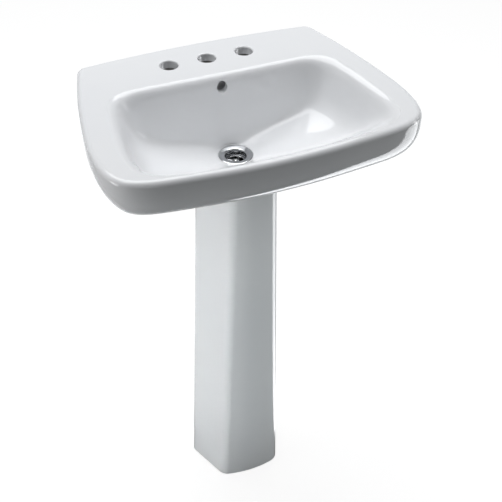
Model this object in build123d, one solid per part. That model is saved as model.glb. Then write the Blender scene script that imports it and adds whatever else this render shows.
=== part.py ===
from build123d import *
import math
import os

import numpy as np

# Pedestal sink in vitreous china: a wide basin with a three-hole tap deck, a
# tapered pedestal column that is open at the back, a chrome strainer waste and
# the tubular trap that hangs inside the column.
# Row frame: millimetres, +Z up, +Y towards the wall, origin on the floor under
# the middle of the whole object. Shape data are written with y = 0 at the wall
# face and are shifted by Y_SHIFT when the solids are placed.

# ---------------------------------------------------------------- driving sizes
HEIGHT = 860.0            # floor to tap deck
DEPTH = 409.2             # wall to the front of the rim
Y_SHIFT = DEPTH / 2.0     # wall frame -> row frame

# basin outline, right half, wall frame
BACK_HALF_W = 225.4       # half width of the back edge
BACK_BOW = 12.2           # how far the back corners sit in front of its middle
SIDE_PTS = [(250.6, -101.2), (271.2, -202.4), (280.9, -292.5), (262.4, -367.3),
            (168.3, -398.0), (84.2, -406.2), (0.0, -DEPTH)]
TOP_ROUND = 10.0          # outer top edge radius, sides and front
BACK_ROUND = 3.0          # outer top edge radius along the wall
APRON_BACK = 60.9         # apron height at the wall
APRON_SLOPE = 0.051       # extra apron height per mm towards the front
FOOT_TOP = 838.0          # level where the rounded lower edge starts
FOOT_ROUND_IN = 39.5      # how far the rounded lower edge turns in
APRON_T = 12.0            # apron wall
BACK_T = 16.0             # back wall
DECK_T = 15.0             # deck thickness
DECK_CUT = HEIGHT - DECK_T - 0.2    # level where the deck ends and walls and bowl begin
BACK_CUT = -34.0          # the back wall's division from the side aprons
FRONT_CUT = -335.0        # the side aprons' division from the front apron

# bowl: rim outline (right half) and section table (depth, half width, back, front)
RIM_PTS = [(0, -117), (80, -116.5), (145, -116), (183, -121), (206, -138),
           (219, -172), (229, -222), (236.5, -280), (238, -324), (230, -355),
           (208, -373.5), (165, -387.5), (85, -395.7), (0, -398.5)]
RIM_MID, RIM_HALF_Y = -257.75, 140.75
BOWL = [(0, 238, -117, -398.5), (1.0, 234, -121, -395.5), (3.0, 230, -124.5, -392),
        (6.0, 226, -127.5, -388), (12, 221, -130.5, -380), (25, 213.5, -134.5, -362.5),
        (40, 206, -139, -343), (60, 195, -144.5, -317.5), (75, 181, -149, -298),
        (86, 163, -152.5, -282), (95, 140, -155.5, -268), (103, 113, -158.5, -255),
        (109, 86, -160.5, -245), (114, 62, -162.3, -237), (118, 46, -163.5, -232),
        (121.3, 33, -163, -228.5)]
SHELL_T = 10.0            # bowl wall

# holes
TAP_PITCH = 71.2          # between neighbouring tap holes
TAP_Y = -59.1
TAP_R = 16.0
OVERFLOW_R = 9.5
OVERFLOW_Z = HEIGHT - 20.0
DRAIN_Y = -195.9
DRAIN_HOLE_R = 22.5
SEAT_Z = 736.2            # china seat under the waste flange
BOSS_Z = 709.0            # underside of the china boss
BOSS_R = 33.0
WALL_HOLE_PITCH = 280.0   # hanger-bolt holes in the back wall
WALL_HOLE_R = 7.0
WALL_HOLE_Z = 822.0
PAD_W = 60.0              # flat wall pad round each hanger-bolt hole
PAD_H = 36.0

# pedestal (half widths in the wall frame)
PED_H = 724.5             # column height
PED_SEAT = 726.0          # flat seat on the basin's underside
PED_W_BACK = (92.5, 74.8)     # half width at the widest line, floor and top
PED_W_FRONT = (60.5, 42.9)    # half width at the front corners, floor and top
PED_Y_WIDE = -191.65
PED_Y_CORNER = -281.65
PED_Y_FRONT = -291.15
PED_Y_REAR = -128.65      # ends of the inturned rear walls
PED_W_REAR = (60.0, 43.2)
PED_R_WIDE = 16.0         # radius at the widest line
PED_CORNER = 24.0         # radius at the front corners
PED_T = 12.0
FLOOR_HOLE_PITCH = 84.0
FLOOR_HOLE_Y = -154.65
FLOOR_HOLE_R = 4.5
LUG_T = 14.0

# waste and trap
FLANGE_R = 30.5
THROAT_R = 18.7
BODY_R = 20.5
BODY_BOTTOM = 652.0
TUBE_R = 15.9             # 32 mm waste tube
TUBE_T = 1.2
TAIL_BOTTOM = 548.0
TRAP_R = 45.0             # centre-line radius of the J bend
ARM_R = 32.0              # centre-line radius of the trap arm elbow
ARM_END_Y = -56.9


# ---------------------------------------------------------------- curve helpers
def cubic(points, n, start=None, end=None):
    """Chord-length cubic spline through points, sampled n times."""
    p = np.array(points, float)
    t = np.r_[0, np.cumsum(np.linalg.norm(np.diff(p, axis=0), axis=1))]
    k = len(p)
    h = np.diff(t)
    out = []
    for c in range(2):
        y = p[:, c]
        a = np.zeros((k, k))
        r = np.zeros(k)
        for i in range(1, k - 1):
            a[i, i - 1], a[i, i], a[i, i + 1] = h[i - 1], 2 * (h[i - 1] + h[i]), h[i]
            r[i] = 6 * ((y[i + 1] - y[i]) / h[i] - (y[i] - y[i - 1]) / h[i - 1])
        if start is None:
            a[0, 0] = 1
        else:
            a[0, 0], a[0, 1] = 2 * h[0], h[0]
            r[0] = 6 * ((y[1] - y[0]) / h[0] - start[c])
        if end is None:
            a[-1, -1] = 1
        else:
            a[-1, -2], a[-1, -1] = h[-1], 2 * h[-1]
            r[-1] = 6 * (end[c] - (y[-1] - y[-2]) / h[-1])
        m = np.linalg.solve(a, r)
        tt = np.linspace(0, t[-1], n)
        i = np.clip(np.searchsorted(t, tt, side="right") - 1, 0, k - 2)
        x0, x1 = tt - t[i], t[i + 1] - tt
        out.append(m[i] * x1 ** 3 / (6 * h[i]) + m[i + 1] * x0 ** 3 / (6 * h[i])
                   + (y[i] / h[i] - m[i] * h[i] / 6) * x1
                   + (y[i + 1] / h[i] - m[i + 1] * h[i] / 6) * x0)
    return np.stack(out, 1)


def back_line(x):
    return -BACK_BOW * (x / BACK_HALF_W) ** 2


SIDE_CURVE = cubic([(BACK_HALF_W, -BACK_BOW)] + SIDE_PTS, 121, end=(-1.0, 0.0))


def outline(inset, back_inset, count=26):
    """Right-side curve of the basin outline, inset; from the back corner to the
    front middle. The first point lies on the inset back line."""
    c = SIDE_CURVE
    t = np.gradient(c, axis=0)
    t /= np.linalg.norm(t, axis=1)[:, None]
    n = np.stack([t[:, 1], -t[:, 0]], 1)
    o = c + n * inset if (n[60] @ (np.array([0, -200]) - c[60])) > 0 else c - n * inset
    keep = [i for i in range(len(o)) if o[i, 1] < back_line(o[i, 0]) - back_inset - 1.0]
    o = o[keep[0]:]
    # run the side on to the back line
    d = o[0] - o[3]
    d /= np.linalg.norm(d)
    p = o[0].copy()
    for _ in range(30):
        gap = (back_line(p[0]) - back_inset) - p[1]
        p = p + d * gap / d[1]
    o = np.vstack([p, o])
    o[-1, 0] = 0.0
    s = np.r_[0, np.cumsum(np.linalg.norm(np.diff(o, axis=0), axis=1))]
    q = np.linspace(0, s[-1], count)
    return np.stack([np.interp(q, s, o[:, 0]), np.interp(q, s, o[:, 1])], 1)


def ring(half, zf, corner=True, back_inset=0.0):
    """Closed wire from a right half. zf(y) gives the height of the section."""
    right = [Vector(x, y + Y_SHIFT, zf(y)) for x, y in half]
    left = [Vector(-x, y + Y_SHIFT, zf(y)) for x, y in half[-2::-1]]
    if corner:
        x0, y0 = half[0]
        ym = back_line(0) - back_inset
        xq = x0 * 0.5
        yq = back_line(xq) - back_inset
        back = Edge.make_spline([
            Vector(-x0, y0 + Y_SHIFT, zf(y0)), Vector(-xq, yq + Y_SHIFT, zf(yq)),
            Vector(0, ym + Y_SHIFT, zf(ym)), Vector(xq, yq + Y_SHIFT, zf(yq)),
            Vector(x0, y0 + Y_SHIFT, zf(y0))])
        front = Edge.make_spline(right + left)
        return Wire([back, front])
    return Wire([Edge.make_spline((right + left)[:-1], periodic=True)])


def flat(z):
    return lambda y: z


def sloped(up):
    """Plane of the apron's lower edge, raised by up."""
    return lambda y: HEIGHT - APRON_BACK + APRON_SLOPE * y + up


def foot_round(t):
    """Height of the rounded lower edge, t = 0 at its bottom and 90 degrees at its top."""
    return lambda y: sloped(0)(y) + (FOOT_TOP - sloped(0)(y)) * (1 - math.cos(t))


def rim_half():
    c = cubic(RIM_PTS, 241, start=(1.0, 0.0), end=(-1.0, 0.0))
    s = np.r_[0, np.cumsum(np.linalg.norm(np.diff(c, axis=0), axis=1))]
    q = np.linspace(0, s[-1], 25)
    return np.stack([np.interp(q, s, c[:, 0]), np.interp(q, s, c[:, 1])], 1)


RIM_HALF = rim_half()


def bowl_half(depth, grow=0.0):
    """Right half of the bowl section at a depth, grown outwards by grow."""
    d, a, b, f = (np.array(col, float) for col in zip(*BOWL))
    a, b, f = (float(np.interp(depth, d, v)) for v in (a, b, f))
    a, b, f = a + grow, b + grow, f - grow
    yc, hy = (b + f) / 2, (b - f) / 2
    u = RIM_HALF[:, 0] / 238.0
    v = (RIM_HALF[:, 1] - RIM_MID) / RIM_HALF_Y
    ang = np.arctan2(u, v)
    w = min(1.0, max(0.0, (depth - 96.0) / 25.3))
    w = w * w * (3 - 2 * w)
    uu = u * (1 - w) + np.sin(ang) * w
    vv = v * (1 - w) + np.cos(ang) * w
    h = np.stack([a * uu, yc + hy * vv], 1)
    h[0, 0] = h[-1, 0] = 0.0
    return h


def at(x, y, z):
    return Location((x, y + Y_SHIFT, z))


def rod(r, z0, z1, x=0.0, y=DRAIN_Y):
    return Solid.make_cylinder(r, z1 - z0, Plane((x, y + Y_SHIFT, z0)))


def block(x0, x1, y0, y1, z0, z1):
    return Solid.make_box(x1 - x0, y1 - y0, z1 - z0, Plane((x0, y0 + Y_SHIFT, z0)))


def turned(profile, y=DRAIN_Y, x=0.0):
    """Solid of revolution about a vertical axis; profile holds (radius, z)."""
    area = sum(a[0] * b[1] - b[0] * a[1] for a, b in zip(profile, profile[1:] + profile[:1]))
    if area > 0:
        profile = profile[::-1]
    w = Wire.make_polygon([Vector(r, 0, z) for r, z in profile], close=True)
    s = Solid.revolve(Face(w), 360, Axis.Z)
    return s.moved(at(x, y, 0))


def quad(x, y0, y1, z):
    return Wire.make_polygon([Vector(-x, y0 + Y_SHIFT, z), Vector(x, y0 + Y_SHIFT, z),
                              Vector(x, y1 + Y_SHIFT, z), Vector(-x, y1 + Y_SHIFT, z)],
                             close=True)


def save(shape, name):
    solids = shape.solids()
    out = solids[0] if len(solids) == 1 else Compound(children=list(solids))
    out.label = name
    export_step(out, os.path.join("parts", name + ".step"))
    print(name, len(solids), "solid(s)", round(sum(s.volume for s in solids) / 1000, 1), "cm3",
          "valid" if all(s.is_valid for s in solids) else "NOT VALID")
    return out


# ---------------------------------------------------------------- basin
def make_basin():
    # outer body: rounded top edge, upright apron, rounded lower edge on a slope
    rings = []
    for deg in (0, 25, 50, 70, 90):
        t = math.radians(deg)
        rings.append(ring(outline(TOP_ROUND * (1 - math.sin(t)), BACK_ROUND * (1 - math.sin(t))),
                          flat(HEIGHT - TOP_ROUND * (1 - math.cos(t))),
                          back_inset=BACK_ROUND * (1 - math.sin(t))))
    for deg in (90, 65, 40, 20, 0):
        t = math.radians(deg)
        rings.append(ring(outline(FOOT_ROUND_IN * (1 - math.sin(t)), 0),
                          foot_round(t)))
    body = Solid.make_loft(rings, ruled=True)

    # hollow underside
    inner = [ring(outline(APRON_T + 9, BACK_T + 6), flat(HEIGHT - DECK_T), back_inset=BACK_T + 6),
             ring(outline(APRON_T, BACK_T), flat(HEIGHT - DECK_T - 9), back_inset=BACK_T)]
    for deg in (60, 35, 12):
        t = math.radians(deg)
        inner.append(ring(outline(FOOT_ROUND_IN * (1 - math.sin(t)) + APRON_T, BACK_T),
                          foot_round(t), back_inset=BACK_T))
    inner.append(ring(outline(FOOT_ROUND_IN + 9, BACK_T), sloped(-4), back_inset=BACK_T))
    under = Solid.make_loft(inner, ruled=True)

    # bowl, inside and outside
    inner_rings = [ring(bowl_half(0, 4.0), flat(HEIGHT + 2.0), corner=False)]
    inner_rings += [ring(bowl_half(row[0]), flat(HEIGHT - row[0]), corner=False) for row in BOWL]
    cavity = Solid.make_loft(inner_rings, ruled=True)
    outer_rings = []
    for d, drop in ((8, 0.0), (20, 1.0), (40, 2.5), (60, 4.0), (75, 5.5), (86, 6.5), (95, 7.5), (103, 8.2), (109, 8.8), (115, 9.5)):
        outer_rings.append(ring(bowl_half(d, SHELL_T - drop * 0.25), flat(HEIGHT - d - drop), corner=False))
    outer_rings.append(ring(bowl_half(121.3, 2.0), flat(HEIGHT - 121.3 - 12.0), corner=False))
    shell = Solid.make_loft(outer_rings, ruled=True)

    # overflow channel behind the bowl, boss round the waste hole
    duct = Solid.make_loft([quad(21, -103, -135, 852), quad(21, -111, -143, 800),
                            quad(21, -121, -157, 745), quad(21, -135, -173, BOSS_Z)], ruled=True)
    duct_in = Solid.make_loft([quad(14, -110, -124, 846), quad(14, -118, -130, 800),
                               quad(14, -128, -142, 745), quad(14, -142, -157, 722)], ruled=True)
    duct_foot = block(-14, 14, -179, -142, 714.5, 722.5)
    boss = rod(BOSS_R, BOSS_Z, 742)

    # seat that the column stands under: an open ring with the column's outline
    seat = Solid.extrude(Face(Wire(ped_edges(PED_H, 0.0))), Vector(0, 0, 50))
    seat = seat.moved(Location((0, 0, PED_SEAT - PED_H)))

    basin = (body - under) + shell + duct + boss + seat
    basin = basin - cavity - duct_in - duct_foot
    basin = basin - rod(DRAIN_HOLE_R, BOSS_Z - 5, 760) - rod(FLANGE_R + 0.7, SEAT_Z, 752)
    # overflow hole, square to the sloping back wall
    hole = Solid.make_cylinder(OVERFLOW_R, 24, Plane(origin=(0, -138.5 + Y_SHIFT, OVERFLOW_Z - 1.2),
                                                    z_dir=(0, 1, 0.22)))
    basin = basin - hole
    # tap holes with a softened top edge
    for i in (-1, 0, 1):
        x = i * TAP_PITCH
        basin = basin - rod(TAP_R, HEIGHT - 30, HEIGHT + 5, x, TAP_Y)
        basin = basin - turned([(0, HEIGHT + 1), (0, HEIGHT - 3), (TAP_R, HEIGHT - 3), (TAP_R + 0.9, HEIGHT - 0.9),
                                (TAP_R + 3, HEIGHT), (TAP_R + 3, HEIGHT + 1)], TAP_Y, x)
    # flat pads that meet the wall, and the hanger-bolt holes through them
    for s in (-1, 1):
        a, b = sorted((s * (WALL_HOLE_PITCH / 2 - PAD_W / 2), s * (WALL_HOLE_PITCH / 2 + PAD_W / 2)))
        basin = basin + block(a, b, -14, 0, WALL_HOLE_Z - PAD_H / 2, WALL_HOLE_Z + PAD_H / 2)
    for s in (-1, 1):
        basin = basin - Solid.make_cylinder(WALL_HOLE_R, 40, Plane(
            origin=(s * WALL_HOLE_PITCH / 2, -32 + Y_SHIFT, WALL_HOLE_Z), z_dir=(0, 1, 0)))
    return basin, shell


def as_one(shape):
    if isinstance(shape, (list, tuple)):
        shape = Compound(children=list(shape))
    return shape


def within(shape, x0=-400, x1=400, y0=-600, y1=200, z0=600, z1=1000):
    return as_one(shape.intersect(block(x0, x1, y0, y1, z0, z1)))


def divide_basin(basin, shell):
    """The casting as its deck, walls, bowl and inner ribs, face to face."""
    parts = {"basin_deck": within(basin, z0=DECK_CUT)}
    lower = within(basin, z1=DECK_CUT).solids()
    bowl = min(lower, key=lambda q: q.bounding_box().size.X)
    skirt = max(lower, key=lambda q: q.bounding_box().size.X)
    parts["basin_back_wall"] = within(skirt, y0=BACK_CUT)
    parts["basin_apron_left"] = within(skirt, x1=0, y0=FRONT_CUT, y1=BACK_CUT)
    parts["basin_apron_right"] = within(skirt, x0=0, y0=FRONT_CUT, y1=BACK_CUT)
    parts["basin_apron_front"] = within(skirt, y1=FRONT_CUT)
    core = as_one(bowl.intersect(shell))
    parts["basin_bowl_left"] = within(core, x1=0)
    parts["basin_bowl_right"] = within(core, x0=0)
    rest = bowl - shell
    hub = rod(BOSS_R, BOSS_Z - 1, 745)
    parts["basin_boss"] = as_one(rest.intersect(hub))
    ribs = [q for q in (rest - hub).solids() if q.volume > 50]
    parts["basin_overflow_duct"] = min(ribs, key=lambda q: abs(q.bounding_box().size.X - 42))
    parts["basin_column_seat"] = max(ribs, key=lambda q: q.bounding_box().size.X)
    total = sum(sum(k.volume for k in q.solids()) for q in parts.values())
    print("basin", round(basin.volume / 1000, 1), "cm3; its divisions", round(total / 1000, 1), "cm3;",
          len(lower), "lower solids;", len(ribs), "ribs", [round(q.volume / 1000, 2) for q in ribs])
    return parts


# ---------------------------------------------------------------- pedestal
def unit(v):
    return v / np.linalg.norm(v)


def ped_edges(z, inset, t=PED_T):
    """Closed U plan of the column wall at height z: outer line inset by inset,
    inner line t further in, open between the rear ends."""
    k = z / PED_H
    wb = PED_W_BACK[0] + (PED_W_BACK[1] - PED_W_BACK[0]) * k
    wf = PED_W_FRONT[0] + (PED_W_FRONT[1] - PED_W_FRONT[0]) * k
    wr = PED_W_REAR[0] + (PED_W_REAR[1] - PED_W_REAR[0]) * k
    e, v, c = np.array([wr, PED_Y_REAR]), np.array([wb, PED_Y_WIDE]), np.array([wf, PED_Y_CORNER])
    d1, d2 = unit(v - e), unit(c - v)
    n1, n2 = np.array([-d1[1], d1[0]]), np.array([-d2[1], d2[0]])
    n1 = n1 if n1[0] < 0 else -n1
    n2 = n2 if n2[0] < 0 else -n2
    bow = PED_Y_CORNER - PED_Y_FRONT
    big = (wf * wf + bow * bow) / (2 * bow)
    front_c = np.array([0.0, PED_Y_FRONT + big])

    def meet(p, d, q, f):
        m = np.linalg.solve(np.array([d, -f]).T, q - p)
        return p + d * m[0]
    # fillet centres: wide corner, then front corner against the bowed front
    wide = meet(v + n1 * PED_R_WIDE, d1, v + n2 * PED_R_WIDE, d2)
    p = v + n2 * PED_CORNER - front_c
    bb = float(p @ d2)
    cc = float(p @ p) - (big - PED_CORNER) ** 2
    roots = [-bb - math.sqrt(bb * bb - cc), -bb + math.sqrt(bb * bb - cc)]
    m = [front_c + p + d2 * q for q in roots]
    corner = min(m, key=lambda q: q[1])

    def half(off):
        rw, rc = PED_R_WIDE - off, PED_CORNER - off
        s0 = e + n1 * off
        s0 = s0 + d1 * ((PED_Y_REAR - s0[1]) / d1[1])
        w0, w1 = wide - n1 * rw, wide - n2 * rw
        wm = wide - unit(n1 + n2) * rw
        c0 = corner - n2 * rc
        f = unit(corner - front_c)
        c1 = corner + f * rc
        cm = corner + unit(f - n2) * rc
        return s0, w0, wm, w1, c0, cm, c1, np.array([0.0, PED_Y_FRONT + off])

    def edges(off):
        h = [Vector(q[0], q[1] + Y_SHIFT, z) for q in half(off)]
        g = [Vector(-q[0], q[1] + Y_SHIFT, z) for q in half(off)]
        return [Edge.make_line(h[0], h[1]), Edge.make_three_point_arc(h[1], h[2], h[3]),
                Edge.make_line(h[3], h[4]), Edge.make_three_point_arc(h[4], h[5], h[6]),
                Edge.make_three_point_arc(h[6], h[7], g[6]), Edge.make_three_point_arc(g[6], g[5], g[4]),
                Edge.make_line(g[4], g[3]), Edge.make_three_point_arc(g[3], g[2], g[1]),
                Edge.make_line(g[1], g[0])], h[0], g[0]
    eo, o0, o1 = edges(inset)
    ei, i0, i1 = edges(inset + t)
    back = [Edge.make_line(o1, i1)]
    inner = []
    for x in ei[::-1]:
        a0, a1, am = x @ 0, x @ 1, x @ 0.5
        if x.geom_type == GeomType.LINE:
            inner.append(Edge.make_line(a1, a0))
        else:
            inner.append(Edge.make_three_point_arc(a1, am, a0))
    return eo + back + inner + [Edge.make_line(i0, o0)]


def make_pedestal():
    wall = Solid.make_loft([Wire(ped_edges(0.0, 0.0)), Wire(ped_edges(PED_H, 0.0))], ruled=True)
    # inner foot lugs, one behind each rear corner, drilled for the floor screws
    x = FLOOR_HOLE_PITCH / 2
    column = wall
    fill = ped_edges(LUG_T, 2.0)[:9]
    fill = Face(Wire(fill + [Edge.make_line(fill[-1] @ 1, fill[0] @ 0)]))
    fill = Solid.extrude(fill, Vector(0, 0, -LUG_T))
    for s in (-1, 1):
        a, b = sorted((s * (x - 15), s * (x + 45)))
        lug = block(a, b, FLOOR_HOLE_Y - 20, PED_Y_REAR, 0, LUG_T).intersect(fill)
        column = column + (lug[0] if isinstance(lug, (list, tuple)) else lug)
        column = column - rod(FLOOR_HOLE_R, -1, 20, s * x, FLOOR_HOLE_Y)
    return column


# ---------------------------------------------------------------- waste
def make_drain_body():
    top = 738.7
    body = turned([
        (THROAT_R, top - 2.6), (THROAT_R + 1.6, top - 1.2), (FLANGE_R - 4, top - 0.35),
        (FLANGE_R - 0.6, top), (FLANGE_R, top - 0.6), (FLANGE_R, top - 1.3),
        (BODY_R, top - 1.3), (BODY_R, BODY_BOTTOM), (TUBE_R + 0.05, BODY_BOTTOM),
        (TUBE_R + 0.05, BODY_BOTTOM + 22), (TUBE_R - TUBE_T, BODY_BOTTOM + 24),
        (TUBE_R - TUBE_T, BODY_BOTTOM + 30), (THROAT_R - 1.0, BODY_BOTTOM + 36),
        (THROAT_R - 1.0, 722.8), (THROAT_R, 722.8)])
    # overflow ports through the tube wall
    for ang in (0, 90, 180, 270):
        slot = Solid.make_box(10, 12, 7, Plane((-5, 12, 714.8)))
        body = body - slot.rotate(Axis.Z, ang).moved(at(0, DRAIN_Y, 0))
    return body


def make_strainer():
    r = THROAT_R - 0.1
    z0, z1 = 722.8, 725.4
    ring_ = turned([(r - 3.4, z0), (r, z0), (r, z1 + 0.6), (r - 1.4, z1), (r - 3.4, z1)])
    hub = turned([(2.1, z0), (6.2, z0), (6.2, z1), (5.2, z1 + 0.5), (2.1, z1 + 0.5)])
    s = ring_ + hub
    for ang in (45, 135, 225, 315):
        bar = Solid.make_box(r - 2.6 - 4.6, 4.2, z1 - z0, Plane((4.6, -2.1, z0)))
        s = s + bar.rotate(Axis.Z, ang).moved(at(0, DRAIN_Y, 0))
    return s


def make_strainer_screw():
    z1 = 725.9
    s = turned([(0, z1), (3.6, z1), (3.6, z1 + 0.9), (2.8, z1 + 1.7), (0, z1 + 1.9)])
    s = s + rod(2.0, 716.0, z1)
    slot = Solid.make_box(8, 0.9, 1.2, Plane((-4, -0.45, z1 + 1.0))).rotate(Axis.Z, 20).moved(at(0, DRAIN_Y, 0))
    return s - slot


def nut(z0, z1, r_in, across, flats=6, y=DRAIN_Y):
    r = across / 2 / math.cos(math.pi / flats)
    pts = [Vector(r * math.cos(2 * math.pi * i / flats), r * math.sin(2 * math.pi * i / flats), 0) for i in range(flats)]
    f = Face(Wire.make_polygon(pts, close=True))
    s = Solid.extrude(f, Vector(0, 0, z1 - z0))
    c = 1.2
    cone = turned([(0, z0), (across / 2 - 0.2, z0), (r + 0.2, z0 + c), (r + 0.2, z1 - c), (across / 2 - 0.2, z1), (0, z1)], y)
    s = s.moved(at(0, y, z0)).intersect(cone)
    s = s[0] if isinstance(s, (list, tuple)) else s
    return s - rod(r_in, z0 - 1, z1 + 1, 0, y)


def slip_nut(z0, z1, y, lip_up=True):
    """Knurled slip nut: a hand-turned collar with a lip that holds the washer."""
    r_in, r_out, lip = 20.4, 24.0, TUBE_R + 0.25
    if lip_up:
        prof = [(r_in, z0), (r_out, z0), (r_out, z1 - 2.5), (r_out - 2.5, z1), (lip, z1), (lip, z1 - 3.0), (r_in, z1 - 3.0)]
    else:
        prof = [(r_in, z1), (r_out, z1), (r_out, z0 + 2.5), (r_out - 2.5, z0), (lip, z0), (lip, z0 + 3.0), (r_in, z0 + 3.0)]
    s = turned(prof, y)
    for i in range(8):
        flute = rod(2.6, z0 - 1, z1 + 1, 0, 0).moved(Location((0, 0, 0)))
        a = 2 * math.pi * i / 8
        flute = Solid.make_cylinder(2.6, z1 - z0 + 2, Plane(((r_out + 1.2) * math.cos(a), y + Y_SHIFT + (r_out + 1.2) * math.sin(a), z0 - 1)))
        s = s - flute
    return s


def tube(points_edges, r_out, r_in):
    path = Wire(points_edges)
    start = path @ 0
    tangent = path % 0
    pl = Plane(origin=start, z_dir=tangent)
    outer = Solid.sweep(Face(Wire.make_circle(r_out, pl)), path)
    inner = Solid.sweep(Face(Wire.make_circle(r_in, pl)), path)
    return outer - inner


def yv(y, z):
    return Vector(0, y + Y_SHIFT, z)


J_TOP = 566.0             # top of the J bend's inlet socket
J_MID = 500.0             # where the bend starts
J_OUT = 541.0             # top of its outlet
OUT_Y = DRAIN_Y + 2 * TRAP_R


def make_j_bend():
    r_i = TUBE_R - TUBE_T
    bend = [Edge.make_line(yv(DRAIN_Y, J_TOP - 32), yv(DRAIN_Y, J_MID)),
            Edge.make_three_point_arc(yv(DRAIN_Y, J_MID), yv(DRAIN_Y + TRAP_R, J_MID - TRAP_R), yv(OUT_Y, J_MID)),
            Edge.make_line(yv(OUT_Y, J_MID), yv(OUT_Y, J_OUT - 26))]
    s = tube(bend, TUBE_R, r_i)
    # threaded inlet socket and threaded outlet spigot
    s = s + turned([(r_i, J_TOP - 33), (TUBE_R + 1.2, J_TOP - 33), (20.2, J_TOP - 29), (20.2, J_TOP - 5),
                    (TUBE_R + 0.25, J_TOP - 5), (TUBE_R + 0.25, J_TOP - 28), (r_i, J_TOP - 29)], DRAIN_Y)
    s = s + turned([(r_i, J_OUT - 27), (TUBE_R + 1.2, J_OUT - 27), (20.2, J_OUT - 23), (20.2, J_OUT - 5),
                    (TUBE_R + 0.25, J_OUT - 5), (TUBE_R + 0.25, J_OUT - 22), (r_i, J_OUT - 23)], OUT_Y)
    # clean-out spigot under the bend
    yc, zc = DRAIN_Y + TRAP_R, J_MID - TRAP_R - TUBE_R
    s = s + rod(9.5, zc - 7, zc + 4, 0, yc)
    s = s - rod(6.5, zc - 9, zc + 8, 0, yc)
    return s


def make_trap_arm():
    y1 = OUT_Y + ARM_R
    z1 = 556.0
    path = [Edge.make_line(yv(OUT_Y, J_OUT - 21), yv(OUT_Y, z1)),
            Edge.make_three_point_arc(yv(OUT_Y, z1), yv(OUT_Y + ARM_R * (1 - math.cos(math.pi / 4)), z1 + ARM_R * math.sin(math.pi / 4)), yv(y1, z1 + ARM_R)),
            Edge.make_line(yv(y1, z1 + ARM_R), yv(ARM_END_Y, z1 + ARM_R))]
    return tube(path, TUBE_R, TUBE_R - TUBE_T)


def main():
    os.makedirs("parts", exist_ok=True)
    china_bottom = BOSS_Z
    for name, shape in divide_basin(*make_basin()).items():
        save(shape, name)
    save(make_pedestal(), "pedestal")

    # soft bead between the column and the basin's seat
    bead = Solid.extrude(Face(Wire(ped_edges(PED_H, 1.5, 9.0))), Vector(0, 0, PED_SEAT - PED_H))
    save(bead, "pedestal_bedding")

    save(make_drain_body(), "drain_body")
    save(make_strainer(), "drain_strainer")
    save(make_strainer_screw(), "strainer_screw")
    save(turned([(BODY_R, SEAT_Z), (FLANGE_R - 1.2, SEAT_Z), (FLANGE_R - 1.2, 737.4), (BODY_R, 737.4)]), "flange_gasket")
    # tapered gasket, slip washer and lock nut under the boss
    save(turned([(BODY_R, china_bottom - 12), (30, china_bottom - 12), (30, china_bottom - 5),
                 (27, china_bottom), (DRAIN_HOLE_R - 0.3, china_bottom), (DRAIN_HOLE_R - 0.6, china_bottom + 3),
                 (BODY_R, china_bottom + 3)]), "mack_gasket")
    save(turned([(BODY_R + 0.2, china_bottom - 14.5), (29, china_bottom - 14.5), (29, china_bottom - 12), (BODY_R + 0.2, china_bottom - 12)]), "slip_washer")
    save(nut(china_bottom - 25.5, china_bottom - 14.5, BODY_R, 52), "lock_nut")
    # tailpiece and the O ring that seals it in the waste
    save(turned([(TUBE_R - TUBE_T, TAIL_BOTTOM), (TUBE_R, TAIL_BOTTOM), (TUBE_R, BODY_BOTTOM + 21.5), (TUBE_R - TUBE_T, BODY_BOTTOM + 21.5)]), "tailpiece")
    save(nut(BODY_BOTTOM - 13, BODY_BOTTOM - 4.0, TUBE_R, 40), "tailpiece_nut")
    save(turned([(TUBE_R, BODY_BOTTOM - 4.0), (BODY_R - 0.5, BODY_BOTTOM - 4.0), (BODY_R - 0.5, BODY_BOTTOM), (TUBE_R, BODY_BOTTOM)]), "tailpiece_washer")

    # trap
    save(slip_nut(J_TOP - 14, J_TOP + 2, DRAIN_Y), "trap_inlet_nut")
    save(turned([(TUBE_R, J_TOP - 5), (20.2, J_TOP - 5), (20.2, J_TOP - 1.0), (TUBE_R, J_TOP - 1.0)]), "trap_inlet_washer")
    save(make_j_bend(), "trap_j_bend")
    save(slip_nut(J_OUT - 14, J_OUT + 2, OUT_Y), "trap_outlet_nut")
    save(turned([(TUBE_R, J_OUT - 5), (20.2, J_OUT - 5), (20.2, J_OUT - 1.0), (TUBE_R, J_OUT - 1.0)], OUT_Y), "trap_outlet_washer")
    save(make_trap_arm(), "trap_arm")
    yc, zc = DRAIN_Y + TRAP_R, J_MID - TRAP_R - TUBE_R
    save(rod(6.4, zc - 9.5, zc - 1, 0, yc) + nut(zc - 15.5, zc - 9.0, 0.01, 18, y=yc) + rod(1, zc - 15.5, zc - 9, 0, yc), "cleanout_plug")
    save(turned([(6.5, zc - 9.0), (9.0, zc - 9.0), (9.0, zc - 7.0), (6.5, zc - 7.0)], yc), "cleanout_gasket")


main()
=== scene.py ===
import math

import bmesh
import bpy
import numpy as np
from mathutils import Matrix, Vector


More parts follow.
